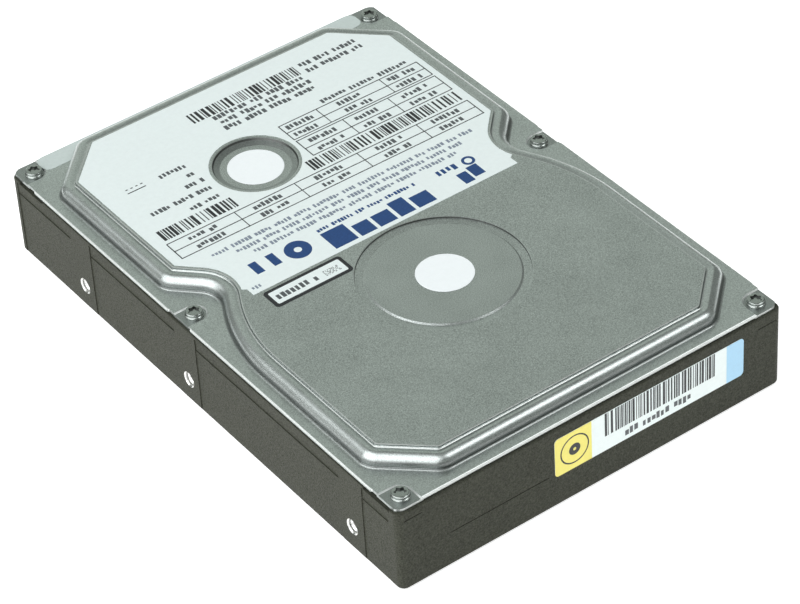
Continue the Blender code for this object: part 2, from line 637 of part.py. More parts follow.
def connectors():
    shell = box("ide_connector", (-10.2, 47.6), (63.5, HALF_L - 0.1), (1.3, 10.0))
    boolean(shell, box("ide_cavity", (-8.4, 45.8), (64.8, 80.0), (2.4, 9.0)))
    boolean(shell, box("ide_key", (16.4, 21.2), (66.0, 80.0), (8.0, 12.0)))
    xs = pin_lines(-5.33, 20, 2.54, 0.32, 1.2)
    zs = pin_lines(4.43, 2, 2.54, 0.32, 0.8)
    cells = [(2 * i + 1, k) for i in range(20) for k in (1, 3) if (i, k) != (10, 3)]
    studded("ide_pins", xs, zs, cells, 64.85, 65.2, 72.3)
    box("jumper_header", (-24.6, -11.6), (63.5, 66.2), (2.4, 8.6))
    xs = pin_lines(-23.2, 5, 2.54, 0.32, 1.1)
    zs = pin_lines(4.23, 2, 2.54, 0.32, 0.9)
    cells = [(2 * i + 1, k) for i in range(5) for k in (1, 3) if (i, k) != (4, 3)]
    studded("jumper_pins", xs, zs, cells, 66.25, 66.55, 72.3)
    jumper = box("jumper_shunt", (-21.9, -19.42), (66.95, 72.9), (3.0, 8.0))
    slots = [box("jumper_slot", (-21.05, -20.27), (60, 72.6), (z - 0.4, z + 0.4)) for z in (4.23, 6.77)]
    boolean(jumper, joined("jumper_slots", slots))
    power = [(-47.6, 0.8), (-26.2, 0.8), (-26.2, 8.0), (-28.2, 10.2), (-45.6, 10.2), (-47.6, 8.0)]
    body = loft("power_connector", [[(x, y, z) for x, z in power] for y in (HALF_L - 0.1, 63.5)])
    cavity = [(-46.4, 1.9), (-27.4, 1.9), (-27.4, 7.6), (-28.9, 9.1), (-44.9, 9.1), (-46.4, 7.6)]
    boolean(body, loft("power_cavity", [[(x, y, z) for x, z in cavity] for y in (80.0, 64.8)]))
    xs = pin_lines(-44.52, 4, 5.08, 1.0, 1.6)
    zs = pin_lines(5.4, 1, 1, 1.0, 1.8)
    studded("power_pins", xs, zs, [(2 * i + 1, 1) for i in range(4)], 64.85, 65.2, 72.6)


FINISHES = (
    ("black_paint", (0.015, 0.017, 0.011), 0.40, 0.0, ("base_casting",)),
    ("zinc_sheet", (0.35, 0.41, 0.37), 0.34, 0.95, ("top_cover",)),
    ("screw_steel", (0.42, 0.44, 0.42), 0.24, 1.0, ("cover_screw", "board_screw", "spindle_shaft")),
    ("label_paper", (0.80, 0.88, 0.87), 0.42, 0.0, ("top_label", "serial_label", "end_label")),
    ("seal_paper", (0.86, 0.91, 0.92), 0.42, 0.0, ("spindle_seal", "pivot_seal")),
    ("foil_tape", (0.62, 0.69, 0.68), 0.38, 0.45, ("edge_tape",)),
    ("platter_film", (0.55, 0.55, 0.56), 0.06, 1.0, ("platter",)),
    ("turned_aluminium", (0.72, 0.73, 0.74), 0.30, 1.0, ("spindle_hub", "disk_", "arm_block")),
    ("bright_steel", (0.60, 0.60, 0.61), 0.22, 1.0, ("pivot", "magnet_plate", "head_suspension")),
    ("nickel_magnet", (0.66, 0.64, 0.60), 0.18, 1.0, ("magnet_lower", "magnet_upper")),
    ("copper_wire", (0.62, 0.26, 0.12), 0.35, 0.9, ("voice_coil", "motor_stator")),
    ("rubber", (0.02, 0.02, 0.02), 0.70, 0.0, ("cover_gasket", "crash_stop")),
    ("filter_cloth", (0.80, 0.80, 0.78), 0.90, 0.0, ("recirculation_filter",)),
    ("board_lacquer", (0.03, 0.16, 0.06), 0.35, 0.0, ("controller_board",)),
    ("black_plastic", (0.02, 0.02, 0.022), 0.45, 0.0, ("ide_connector", "jumper_header", "insulator_sheet")),
    ("chip_resin", (0.03, 0.03, 0.032), 0.50, 0.0, ("controller_chip", "channel_chip", "motor_driver_chip")),
    ("white_plastic", (0.78, 0.77, 0.72), 0.40, 0.0, ("power_connector", "actuator_latch", "jumper_shunt")),
    ("amber_film", (0.45, 0.20, 0.04), 0.35, 0.0, ("flex_cable", "flex_bracket")),
    ("pin_metal", (0.75, 0.70, 0.55), 0.25, 1.0, ("ide_pins", "power_pins", "jumper_pins")),
)

AXES = (
    ("disk_stack_axis", SPINDLE, ("spindle_hub", "platter", "disk_spacer", "disk_clamp")),
    ("actuator_axis", PIVOT, ("arm_block", "voice_coil", "pivot_bearing", "head_suspension")),
    ("latch_axis", LATCH, ("actuator_latch",)),
)


def paint_pieces():
    """One Principled material for each finish, on every piece whose name starts with a listed word."""
    for name, colour, roughness, metallic, starts in FINISHES:
        material = bpy.data.materials.new(name)
        material.use_nodes = True
        surface = material.node_tree.nodes["Principled BSDF"]
        surface.inputs["Base Color"].default_value = (*colour, 1.0)
        surface.inputs["Roughness"].default_value = roughness
        surface.inputs["Metallic"].default_value = metallic
        for obj in DRIVE.objects:
            if obj.name.startswith(starts) and not obj.data.materials:
                obj.data.materials.append(material)


def hang_on_axes():
    """Parents each turning piece to an empty on its joint's axis."""
    for name, centre, starts in AXES:
        axis = bpy.data.objects.new(name, None)
        axis.location = (*centre, 0.0)
        pieces = [obj for obj in DRIVE.objects if obj.name.startswith(starts)]
        DRIVE.objects.link(axis)
        for piece in pieces:
            piece.parent = axis
            piece.matrix_parent_inverse = Matrix.Translation((-centre[0], -centre[1], 0.0))


base_casting()
gasket()
cover()
for number, place in enumerate(COVER_SCREWS):
    cover_screw(f"cover_screw_{number + 1}", place)
labels()
spindle_pieces()
magnet_pieces()
actuator_pieces()
chamber_pieces()
controller_board()
connectors()
paint_pieces()
hang_on_axes()
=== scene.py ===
"""Looks for the hard disk drive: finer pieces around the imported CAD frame, and their materials.

Shapes are drawn in millimetres and turned into metres once, when a piece is finished.
"""

import math
import random

import bmesh
import bpy
from mathutils import Matrix, Vector


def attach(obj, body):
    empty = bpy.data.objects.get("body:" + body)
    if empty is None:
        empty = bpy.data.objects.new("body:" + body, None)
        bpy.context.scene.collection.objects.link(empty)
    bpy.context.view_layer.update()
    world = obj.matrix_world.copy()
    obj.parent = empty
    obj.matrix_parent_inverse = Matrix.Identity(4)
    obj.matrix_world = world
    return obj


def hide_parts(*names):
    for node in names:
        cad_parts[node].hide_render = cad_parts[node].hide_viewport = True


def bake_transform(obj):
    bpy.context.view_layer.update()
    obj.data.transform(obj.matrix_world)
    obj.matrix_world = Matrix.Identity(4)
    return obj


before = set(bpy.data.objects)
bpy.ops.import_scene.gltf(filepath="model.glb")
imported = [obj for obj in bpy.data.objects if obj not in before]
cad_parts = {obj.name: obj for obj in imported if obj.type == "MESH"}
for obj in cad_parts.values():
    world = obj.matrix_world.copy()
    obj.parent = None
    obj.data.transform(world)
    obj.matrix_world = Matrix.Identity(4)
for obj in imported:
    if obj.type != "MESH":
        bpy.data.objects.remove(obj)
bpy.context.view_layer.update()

HALF_W = 50.8
HALF_L = 73.4
BASE_FRONT = 0.12 - HALF_L
CORNER_R = 1.8
BASE_TOP = 20.95
RECESS_CEILING = 6.0
CAVITY_FLOOR = 8.0
LEDGE_FLOOR = 12.5
FLANGE_BOTTOM = 21.3
FLANGE_TOP = 22.0
PAD_TOP = 21.65
PANEL_TOP = 25.3

SPINDLE = (0.0, -21.8)
PIVOT = (-9.0, 35.9)
LATCH = (-3.6, 65.4)
PLATTER_Z = (11.0, 14.05, 17.1, 20.15)
STACK_BORE = 12.52
RIBBON_Z = (12.0, 19.0)
DISC_ARC_R = 43.5
WAIST_CENTRE = (46.6, 5.4)
WAIST_R = 10.4
PANEL_FRONT = -65.3
PANEL_BACK = 66.8

COVER_SCREWS = [(s * 46.9, y) for s in (-1, 1) for y in (-69.2, 4.7, 69.4)]
BOARD_SCREWS = ((-40.5, 28.0), (40.5, 28.0), (-40.5, -20.0), (40.5, -20.0))
SIDE_HOLES_Y = (45.0, 3.4, -56.6)
BOTTOM_HOLES_Y = (32.12, -12.33, -44.08)
BOTTOM_HOLE_X = 47.625

# ---------------------------------------------------------------- outlines


def arc(centre, radius, start, end, steps):
    points = []
    for i in range(steps + 1):
        angle = math.radians(start + (end - start) * i / steps)
        points.append((centre[0] + radius * math.cos(angle), centre[1] + radius * math.sin(angle)))
    return points


def rounded_rect(x, y, radius, steps=8):
    points = arc((x[1] - radius, y[0] + radius), radius, -90, 0, steps)
    points += arc((x[1] - radius, y[1] - radius), radius, 0, 90, steps)
    points += arc((x[0] + radius, y[1] - radius), radius, 90, 180, steps)
    points += arc((x[0] + radius, y[0] + radius), radius, 180, 270, steps)
    return points


def rounded_corner(before, corner, after, radius, steps):
    """Points of the arc that rounds one corner of a path."""
    ax, ay = before[0] - corner[0], before[1] - corner[1]
    bx, by = after[0] - corner[0], after[1] - corner[1]
    la, lb = math.hypot(ax, ay), math.hypot(bx, by)
    ax, ay, bx, by = ax / la, ay / la, bx / lb, by / lb
    half = math.acos(max(-1.0, min(1.0, ax * bx + ay * by))) / 2
    reach = radius / math.tan(half)
    mx, my = ax + bx, ay + by
    lm = math.hypot(mx, my)
    cx = corner[0] + mx / lm * radius / math.sin(half)
    cy = corner[1] + my / lm * radius / math.sin(half)
    start = math.atan2(corner[1] + ay * reach - cy, corner[0] + ax * reach - cx)
    end = math.atan2(corner[1] + by * reach - cy, corner[0] + bx * reach - cx)
    turn = (end - start + math.pi) % (2 * math.pi) - math.pi
    return arc((cx, cy), radius, math.degrees(start), math.degrees(start + turn), steps)


def half_panel():
    """The raised panel's edge on the +X side: front corners, disk arc, waist and back corners."""
    front = [(0.0, PANEL_FRONT), (34.2, PANEL_FRONT), (DISC_ARC_R, -56.6), (DISC_ARC_R, -21.8)]
    back = [(38.0, 11.7), (DISC_ARC_R, 17.2), (DISC_ARC_R, 56.2), (32.9, PANEL_BACK), (0.0, PANEL_BACK)]
    touch = math.degrees(math.atan2(WAIST_CENTRE[1] - SPINDLE[1], WAIST_CENTRE[0] - SPINDLE[0]))
    points = []
    for i in (1, 2):
        points += rounded_corner(front[i - 1], front[i], front[i + 1], 0.8, 6)
    points += arc(SPINDLE, DISC_ARC_R, 0, touch, 18)[:-1]
    points += arc(WAIST_CENTRE, WAIST_R, touch + 180, 135, 20)
    for i in (1, 2, 3):
        points += rounded_corner(back[i - 1], back[i], back[i + 1], 0.8, 6)
    return points


def outward(points):
    """The unit normal at each point of a counter-clockwise loop."""
    normals = []
    for i in range(len(points)):
        before, after = points[i - 1], points[(i + 1) % len(points)]
        here = points[i]
        total = [0.0, 0.0]
        for start, end in ((before, here), (here, after)):
            dx, dy = end[0] - start[0], end[1] - start[1]
            length = math.hypot(dx, dy)
            total[0] += dy / length
            total[1] -= dx / length
        scale = math.hypot(*total)
        normals.append((total[0] / scale, total[1] / scale))
    return normals


def fine_path(loop, spacing):
    """The loop with points added, so that none is much farther than the spacing from the next."""
    points = []
    for start, end in zip(loop, loop[1:] + loop[:1]):
        steps = max(1, round(math.dist(start, end) / spacing))
        for step in range(steps):
            t = step / steps
            points.append((start[0] + (end[0] - start[0]) * t, start[1] + (end[1] - start[1]) * t))
    return points


HALF_PANEL = half_panel()
PANEL = HALF_PANEL + [(-x, y) for x, y in reversed(HALF_PANEL)]
PANEL_NORMALS = outward(PANEL)
FINE_PANEL = fine_path(PANEL, 0.5)


def panel_offset(distance):
    return [(x + nx * distance, y + ny * distance) for (x, y), (nx, ny) in zip(PANEL, PANEL_NORMALS)]


# ---------------------------------------------------------------- solids, in millimetres


def shell(name, bm):
    bmesh.ops.recalc_face_normals(bm, faces=bm.faces)
    mesh = bpy.data.meshes.new(name)
    bm.to_mesh(mesh)
    bm.free()
    obj = bpy.data.objects.new(name, mesh)
    bpy.context.scene.collection.objects.link(obj)
    return obj


def loft(name, loops):
    bm = bmesh.new()
    rings = [[bm.verts.new(point) for point in loop] for loop in loops]
    count = len(rings[0])
    for low, high in zip(rings, rings[1:]):
        for i in range(count):
            j = (i + 1) % count
            bm.faces.new((low[i], low[j], high[j], high[i]))
    bm.faces.new(rings[0][::-1])
    bm.faces.new(rings[-1])
    return shell(name, bm)


def prism(name, outline, low, high):
    return loft(name, [[(x, y, z) for x, y in outline] for z in (low, high)])


def box(name, x, y, z):
    return prism(name, [(x[0], y[0]), (x[1], y[0]), (x[1], y[1]), (x[0], y[1])], z[0], z[1])


def panel_solid(name, section):
    return loft(name, [[(x, y, z) for x, y in panel_offset(offset)] for offset, z in section])


def turned(name, profile, centre=(0, 0), steps=64, axis="Z"):
    """A solid of revolution from (radius, height) points, about Z or, through a 3D centre, X or Y."""
    bm = bmesh.new()
    verts = [bm.verts.new((r, 0.0, z)) for r, z in profile]
    edges = []
    for i, vert in enumerate(verts):
        after = verts[(i + 1) % len(verts)]
        if vert.co.x > 0 or after.co.x > 0:
            edges.append(bm.edges.new((vert, after)))
    bmesh.ops.spin(
        bm, geom=verts + edges, cent=(0, 0, 0), axis=(0, 0, 1), angle=2 * math.pi, steps=steps
    )
    bmesh.ops.remove_doubles(bm, verts=bm.verts, dist=0.0002)
    for vert in bm.verts:
        x, y, z = vert.co
        if axis == "X":
            vert.co = (centre[0] + z, centre[1] + x, centre[2] + y)
        elif axis == "Y":
            vert.co = (centre[0] + y, centre[1] + z, centre[2] + x)
        else:
            vert.co = (centre[0] + x, centre[1] + y, z)
    return shell(name, bm)


def disc(name, radius, centre, low, high, steps=48):
    return turned(name, [(0, low), (radius, low), (radius, high), (0, high)], centre, steps)


def joined(name, pieces):
    bm = bmesh.new()
    for piece in pieces:
        bm.from_mesh(piece.data)
        bpy.data.objects.remove(piece)
    return shell(name, bm)


def boolean(obj, other, operation="DIFFERENCE"):
    """Applies a Boolean at once and removes the other object."""
    modifier = obj.modifiers.new("cut", "BOOLEAN")
    modifier.object = other
    modifier.operation = operation
    modifier.solver = "EXACT"
    graph = bpy.context.evaluated_depsgraph_get()
    mesh = bpy.data.meshes.new_from_object(obj.evaluated_get(graph))
    obj.modifiers.clear()
    obj.data = mesh
    bpy.data.objects.remove(other)
    return obj


def about(centre, angle, points):
    c, s = math.cos(angle), math.sin(angle)
    return [(centre[0] + u * c - v * s, centre[1] + u * s + v * c) for u, v in points]


# ---------------------------------------------------------------- pieces


def place(obj, material, body, nodes=(), sharp=32.0, weighted=True, scale=0.001, bevel=0.0):
    """Turns a solid into a finished piece of the drive. It is in millimetres unless scale says otherwise.
    """
    bm = bmesh.new()
    bm.from_mesh(obj.data)
    bmesh.ops.remove_doubles(bm, verts=bm.verts, dist=1e-5)
    picks = [face.material_index for face in bm.faces]
    limit = math.radians(sharp)
    for edge in bm.edges:
        edge.smooth = len(edge.link_faces) == 2 and edge.calc_face_angle(0.0) < limit
    for face in bm.faces:
        face.smooth = True
    bmesh.ops.transform(bm, matrix=Matrix.Scale(scale, 4), verts=bm.verts)
    bm.to_mesh(obj.data)
    bm.free()
    obj.data.materials.clear()
    for item in material if isinstance(material, list) else [material]:
        obj.data.materials.append(item)
    obj.data.polygons.foreach_set("material_index", picks)
    if bevel:
        modifier = obj.modifiers.new("rounded_edges", "BEVEL")
        modifier.width = bevel
        modifier.segments = 2
        modifier.angle_limit = math.radians(35)
    if weighted:
        modifier = obj.modifiers.new("weighted", "WEIGHTED_NORMAL")
        modifier.keep_sharp = True
        modifier.weight = 80
    if body:
        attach(obj, body)
    if nodes:
        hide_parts(*nodes)
    return obj


# ---------------------------------------------------------------- materials


class Shader:
    """A Principled material with short calls for its texture nodes."""

    def __init__(self, name, colour, rough, metal=0.0, **sockets):
        self.material = bpy.data.materials.new(name)
        self.material.use_nodes = True
        self.tree = self.material.node_tree
        self.surface = self.tree.nodes["Principled BSDF"]
        self.surface.inputs["Base Color"].default_value = (*colour, 1.0)
        self.surface.inputs["Roughness"].default_value = rough
        self.surface.inputs["Metallic"].default_value = metal
        for socket, value in sockets.items():
            self.surface.inputs[socket.replace("_", " ")].default_value = value
        self.place = self.node("ShaderNodeTexCoord").outputs["Object"]

    def node(self, kind, **values):
        made = self.tree.nodes.new(kind)
        for key, value in values.items():
            setattr(made, key, value)
        return made

    def link(self, out, into):
        self.tree.links.new(out, into)

    def stretched(self, scale):
        mapping = self.node("ShaderNodeMapping")
        mapping.inputs["Scale"].default_value = scale
        self.link(self.place, mapping.inputs["Vector"])
        return mapping.outputs["Vector"]

    def noise(self, scale, detail=3.0, rough=0.55, stretch=None):
        made = self.node("ShaderNodeTexNoise")
        made.inputs["Scale"].default_value = scale
        made.inputs["Detail"].default_value = detail
        made.inputs["Roughness"].default_value = rough
        self.link(self.stretched(stretch) if stretch else self.place, made.inputs["Vector"])
        return made.outputs["Fac"]

    def spread(self, value, low, high, to_low=0.0, to_high=1.0):
        made = self.node("ShaderNodeMapRange")
        for key, number in zip(("From Min", "From Max", "To Min", "To Max"), (low, high, to_low, to_high)):
            made.inputs[key].default_value = number
        self.link(value, made.inputs["Value"])
        return made.outputs["Result"]

    def ramp(self, value, stops):
        made = self.node("ShaderNodeValToRGB")
        ramp = made.color_ramp
        while len(ramp.elements) < len(stops):
            ramp.elements.new(0.5)
        for element, (position, colour) in zip(ramp.elements, stops):
            element.position = position
            element.color = (*colour, 1.0)
        self.link(value, made.inputs["Fac"])
        return made.outputs["Color"]

    def bump(self, height, distance, strength=1.0):
        made = self.node("ShaderNodeBump")
        made.inputs["Distance"].default_value = distance
        made.inputs["Strength"].default_value = strength
        self.link(height, made.inputs["Height"])
        previous = self.surface.inputs["Normal"]
        if previous.is_linked:
            self.link(previous.links[0].from_socket, made.inputs["Normal"])
        self.link(made.outputs["Normal"], previous)
        return self

    def colour(self, out):
        self.link(out, self.surface.inputs["Base Color"])
        return self

    def roughness(self, out):
        self.link(out, self.surface.inputs["Roughness"])
        return self


def tint(colour, factor):
    return tuple(min(1.0, channel * factor) for channel in colour)


def speckled(*values, **sockets):
    return grained(*values, **sockets).material


def grained(name, colour, rough, metal, grain, contrast, bump, **sockets):
    """Colour, roughness and height that vary over fine grain and slow clouds."""
    shader = Shader(name, colour, rough, metal, **sockets)
    fine = shader.noise(grain, 2.0, 0.7)
    slow = shader.noise(grain / 40.0, 3.0)
    mix = shader.node("ShaderNodeMath", operation="MULTIPLY_ADD")
    shader.link(slow, mix.inputs[0])
    mix.inputs[1].default_value = 0.15
    shader.link(fine, mix.inputs[2])
    stops = [(0.25, tint(colour, 1 - contrast)), (0.57, colour), (0.9, tint(colour, 1 + contrast))]
    shader.colour(shader.ramp(mix.outputs[0], stops))
    shader.roughness(shader.spread(slow, 0.3, 0.7, rough * 0.96, rough * 1.05))
    shader.bump(fine, bump)
    return shader


def painted_coat():
    """Satin black paint over a die casting: its gloss breaks up into a fine grain."""
    shader = grained("black_coat", (0.052, 0.054, 0.042), 0.45, 0.0, 2600.0, 0.6, 0.00005)
    grain = shader.noise(3600.0, 1.0)
    gloss = shader.spread(grain, 0.3, 0.7, 0.0, 0.1)
    shader.link(gloss, shader.surface.inputs["Specular IOR Level"])
    return shader.material


def pressed_metal():
    """The cover's sheet, with painted shade: its steep drawn walls are given a darker colour than the flat
    metal above and below them, standing for the dark they reflect.
    """
    shader = grained("cover_metal", tint(COVER, 1.1), 0.31, 0.95, 4200.0, 0.5, 0.00002)
    corner = shader.node("ShaderNodeSeparateXYZ")
    shader.link(shader.place, corner.inputs[0])
    # painted shade: from about 22.1 to 23.9 mm up the colour is multiplied down to 0.42, darkening the
    # ridge's steep outer wall
    height = shader.spread(corner.outputs["Z"], 0.022, 0.0245)
    stops = [(0.03, 1.0), (0.1, 0.42), (0.55, 0.42), (0.76, 1.0)]
    painted_wall_shade = shader.ramp(height, [(at, (value, value, value)) for at, value in stops])
    mix = shader.node("ShaderNodeMix", data_type="RGBA", blend_type="MULTIPLY")
    mix.inputs["Factor"].default_value = 1.0
    shader.link(shader.surface.inputs["Base Color"].links[0].from_socket, mix.inputs["A"])
    shader.link(painted_wall_shade, mix.inputs["B"])
    shader.colour(mix.outputs["Result"])
    return shader.material


COVER = (0.47, 0.505, 0.49)
cover_metal = pressed_metal()
plate_metal = speckled("plate_metal", COVER, 0.33, 0.95, 4200.0, 0.7, 0.00002)
# painted shade: a darker copy of the cover metal, on the sunk screw seats, the sheet's lower side edges and
# the pivot well's lower slopes
seat_metal = speckled("seat_metal", tint(COVER, 0.74), 0.33, 0.95, 4200.0, 0.5, 0.00002)
# painted highlight: light metal on the raised plate's edge chamfer
plate_edge = speckled("plate_edge", (0.62, 0.65, 0.63), 0.36, 0.8, 2600.0, 0.12, 0.00002)
# painted highlight: light metal on the sheet's cut edges and the seats' rims, partly the edge's bare metal
# and partly a painted highlight
cut_edge = speckled("cut_edge", (0.76, 0.79, 0.77), 0.36, 0.6, 2600.0, 0.12, 0.00002)
black_coat = painted_coat()
steel = speckled("screw_steel", (0.39, 0.42, 0.40), 0.22, 1.0, 3000.0, 0.2, 0.00001)
# painted shade: dark metal on the steep walls of the screw sockets and of the spindle and pivot wells
socket_wall = speckled("socket_wall", (0.10, 0.105, 0.10), 0.4, 0.9, 3000.0, 0.3, 0.00001)
thread_metal = speckled("thread_metal", (0.80, 0.80, 0.78), 0.24, 1.0, 3000.0, 0.15, 0.00001)
label_film = speckled("label_film", (0.82, 0.89, 0.88), 0.42, 0.0, 900.0, 0.03, 0.000004)
seal_film = speckled("seal_film", (0.93, 0.97, 0.98), 0.42, 0.0, 900.0, 0.02, 0.000004)
tape_foil = speckled("tape_foil", (0.72, 0.79, 0.78), 0.38, 0.45, 1200.0, 0.06, 0.00001)
ink_black = speckled("ink_black", (0.018, 0.02, 0.022), 0.5, 0.0, 2500.0, 0.4, 0.000002)
ink_soft = speckled("ink_soft", (0.085, 0.095, 0.10), 0.5, 0.0, 2500.0, 0.4, 0.000002)
ink_blue = speckled("ink_blue", (0.010, 0.055, 0.19), 0.5, 0.0, 2500.0, 0.2, 0.000002)
ink_grey = speckled("ink_grey", (0.22, 0.26, 0.32), 0.5, 0.0, 2500.0, 0.2, 0.000002)
film_yellow = speckled("film_yellow", (0.86, 0.76, 0.17), 0.42, 0.0, 900.0, 0.04, 0.000004)
film_blue = speckled("film_blue", (0.40, 0.66, 0.86), 0.42, 0.0, 900.0, 0.04, 0.000004)

rubber = speckled("gasket_rubber", (0.022, 0.022, 0.024), 0.7, 0.0, 1600.0, 0.4, 0.00003)
bright_steel = speckled("bright_steel", (0.60, 0.60, 0.61), 0.22, 1.0, 2400.0, 0.12, 0.00001)
nickel = speckled("nickel_plate", (0.66, 0.64, 0.60), 0.16, 1.0, 1500.0, 0.08, 0.00001)
cloth = speckled("filter_cloth", (0.74, 0.74, 0.71), 0.9, 0.0, 1900.0, 0.18, 0.00012)
resin = speckled("chip_resin", (0.028, 0.028, 0.030), 0.5, 0.0, 3200.0, 0.4, 0.00003)
black_plastic = speckled("black_plastic", (0.018, 0.018, 0.02), 0.42, 0.0, 1400.0, 0.3, 0.00002)
white_plastic = speckled("white_plastic", (0.74, 0.73, 0.67), 0.4, 0.0, 1100.0, 0.06, 0.00001)
amber_film = speckled("amber_film", (0.42, 0.17, 0.03), 0.3, 0.0, 700.0, 0.12, 0.00001)
insulator = speckled("insulator_film", (0.05, 0.05, 0.055), 0.6, 0.0, 1200.0, 0.25, 0.00002)
pin_gold = speckled("pin_metal", (0.72, 0.62, 0.38), 0.24, 1.0, 1800.0, 0.1, 0.00001)
solder = speckled("solder", (0.62, 0.62, 0.60), 0.3, 1.0, 2000.0, 0.2, 0.00002)
ceramic = speckled("part_ceramic", (0.36, 0.27, 0.17), 0.5, 0.0, 1500.0, 0.15, 0.00001)


def directional(name, colour, rough, metal, stretch, contrast, bump, centre=None):
    """Metal with long fine marks: straight ones along a stretch, or rings about a centre."""
    shader = Shader(name, colour, rough, metal)
    if centre:
        mapping = shader.node("ShaderNodeMapping")
        mapping.inputs["Location"].default_value = (-centre[0] / 1000, -centre[1] / 1000, 0.0)
        shader.link(shader.place, mapping.inputs["Vector"])
        length = shader.node("ShaderNodeVectorMath", operation="LENGTH")
        flat = shader.node("ShaderNodeVectorMath", operation="MULTIPLY")
        flat.inputs[1].default_value = (1.0, 1.0, 0.0)
        shader.link(mapping.outputs["Vector"], flat.inputs[0])
        shader.link(flat.outputs["Vector"], length.inputs[0])
        marks = shader.node("ShaderNodeTexNoise", noise_dimensions="1D")
        marks.inputs["Scale"].default_value = stretch[0]
        shader.link(length.outputs["Value"], marks.inputs["W"])
        lines = marks.outputs["Fac"]
    else:
        lines = shader.noise(400.0, 3.0, 0.6, stretch)
    shader.colour(shader.ramp(lines, [(0.3, tint(colour, 1 - contrast)), (0.7, tint(colour, 1 + contrast))]))
    shader.roughness(shader.spread(lines, 0.3, 0.7, rough * 0.8, rough * 1.25))
    shader.bump(lines, bump)
    return shader.material


RING_SCALE = (5200.0,)
platter_film = directional(
    "platter_mirror", (0.56, 0.56, 0.57), 0.07, 1.0, (900.0,), 0.03, 0.0000015, SPINDLE
)
turned_metal = directional(
    "turned_aluminium", (0.70, 0.71, 0.72), 0.26, 1.0, RING_SCALE, 0.12, 0.000012, SPINDLE
)
pivot_metal = directional("pivot_steel", (0.58, 0.59, 0.60), 0.22, 1.0, RING_SCALE, 0.12, 0.000012, PIVOT)
machined = directional("machined_aluminium", (0.66, 0.67, 0.68), 0.32, 1.0, (1.0, 9.0, 1.0), 0.12, 0.00002)
spring_steel = directional("spring_steel", (0.62, 0.62, 0.63), 0.2, 1.0, (9.0, 1.0, 1.0), 0.1, 0.00001)
copper = directional("copper_winding", (0.60, 0.23, 0.09), 0.34, 0.85, (1.0, 1.0, 14.0), 0.35, 0.00006)


def board_lacquer():
    """Green solder mask with a faint brick-like pattern, as of copper below it, and a fine weave."""
    shader = Shader("board_green", (0.02, 0.13, 0.05), 0.32)
    cells = shader.node("ShaderNodeTexBrick")
    cells.inputs["Scale"].default_value = 260.0
    cells.inputs["Mortar Size"].default_value = 0.03
    cells.inputs["Color1"].default_value = (0.012, 0.105, 0.04, 1)
    cells.inputs["Color2"].default_value = (0.022, 0.15, 0.058, 1)
    cells.inputs["Mortar"].default_value = (0.03, 0.2, 0.08, 1)
    shader.link(shader.place, cells.inputs["Vector"])
    shader.colour(cells.outputs["Color"])
    weave = shader.noise(2400.0, 2.0)
    shader.roughness(shader.spread(weave, 0.3, 0.7, 0.26, 0.42))
    shader.bump(weave, 0.00001)
    shader.bump(cells.outputs["Fac"], 0.00002)
    return shader.material


board_green = board_lacquer()
track_green = speckled("track_green", (0.035, 0.22, 0.085), 0.3, 0.0, 1800.0, 0.15, 0.00001)

# ---------------------------------------------------------------- cover


def cover_piece():
    """The pressed cover: edge flange, folded ridge, channel, and the flat damping plate on top."""
    section = ((0.1, 20.97), (0.0, 21.1), (0.0, 21.72), (0.1, 21.9), (0.26, FLANGE_TOP))
    loops = []
    for inset, z in section:
        outline = rounded_rect((-50.6 + inset, 50.6 - inset), (-72.6 + inset, 73.3 - inset), 2.4 - inset, 12)
        loops.append([(x, y, z) for x, y in outline])
    cover = loft("drive_cover", loops)
    under = box("under", (-60, 60), (-80, 80), (20, FLANGE_BOTTOM))
    boolean(under, joined("seats", [prism("seat", seat, 19, 23) for seat in pad_outlines(-0.35)]))
    boolean(cover, under)
    outside = [(4.85, 21.7), (4.78, 21.99), (4.5, 22.02), (4.3, 22.1), (4.14, 22.22), (3.98, 22.26)]
    outside += [(3.9, 22.36), (3.92, 22.5), (3.99, 22.58)]
    outside += arc((1.56, 22.49), 2.45, 5, 80, 14)
    outside += [(1.7, 24.9), (1.3, 24.8), (0.95, 24.7), (0.8, 24.66), (0.68, 24.66)]
    outside += [(0.54, 24.76), (0.47, 24.79), (0.14, 24.56), (0.08, 24.62), (0.1, 25.04)]
    outside += [(0.27, 25.18), (0.05, PANEL_TOP)]
    boolean(cover, panel_solid("dome", outside), "UNION")
    inside = [(3.05, 20.8), (2.95, 23.6), (2.75, 24.05), (2.4, 24.34), (1.9, 24.3), (0.8, 23.98)]
    inside += [(-0.4, 24.3)]
    void = panel_solid("void", inside)
    spindle_pad = [(0, 24.05), (17.9, 24.05), (19.8, 24.25), (19.8, 30), (0, 30)]
    boolean(void, turned("spindle_pad", spindle_pad, SPINDLE, 64))
    pivot_pad = [(0, 23.6), (8.0, 23.6), (11.2, 24.2), (11.2, 30), (0, 30)]
    boolean(void, turned("pivot_pad", pivot_pad, PIVOT, 64))
    boolean(cover, void)
    boolean(cover, spindle_well())
    boolean(cover, pivot_well())
    boolean(cover, pad_cutters())
    boolean(cover, edge_notches())
    holes = [disc("hole", 1.5, centre, 20, 23, 24) for centre in COVER_SCREWS]
    boolean(cover, joined("holes", holes))
    # each face's finish, among them painted highlights on edges and painted shade in seats and recesses
    for face in cover.data.polygons:
        face.material_index = finish_of(face)
    finishes = [cover_metal, cut_edge, plate_metal, seat_metal, plate_edge, socket_wall]
    return place(cover, finishes, "cover", ["top_cover"])


# The cover's finishes, in the order of its materials. The second and fifth are light edge metal, painted
# highlights (the second partly bare metal); the fourth and sixth are darker metal, painted shade.
SHEET, BARE_EDGE_HIGHLIGHT, PLATE, SHADED_SEAT, PLATE_EDGE_HIGHLIGHT, SHADED_WALL = range(6)


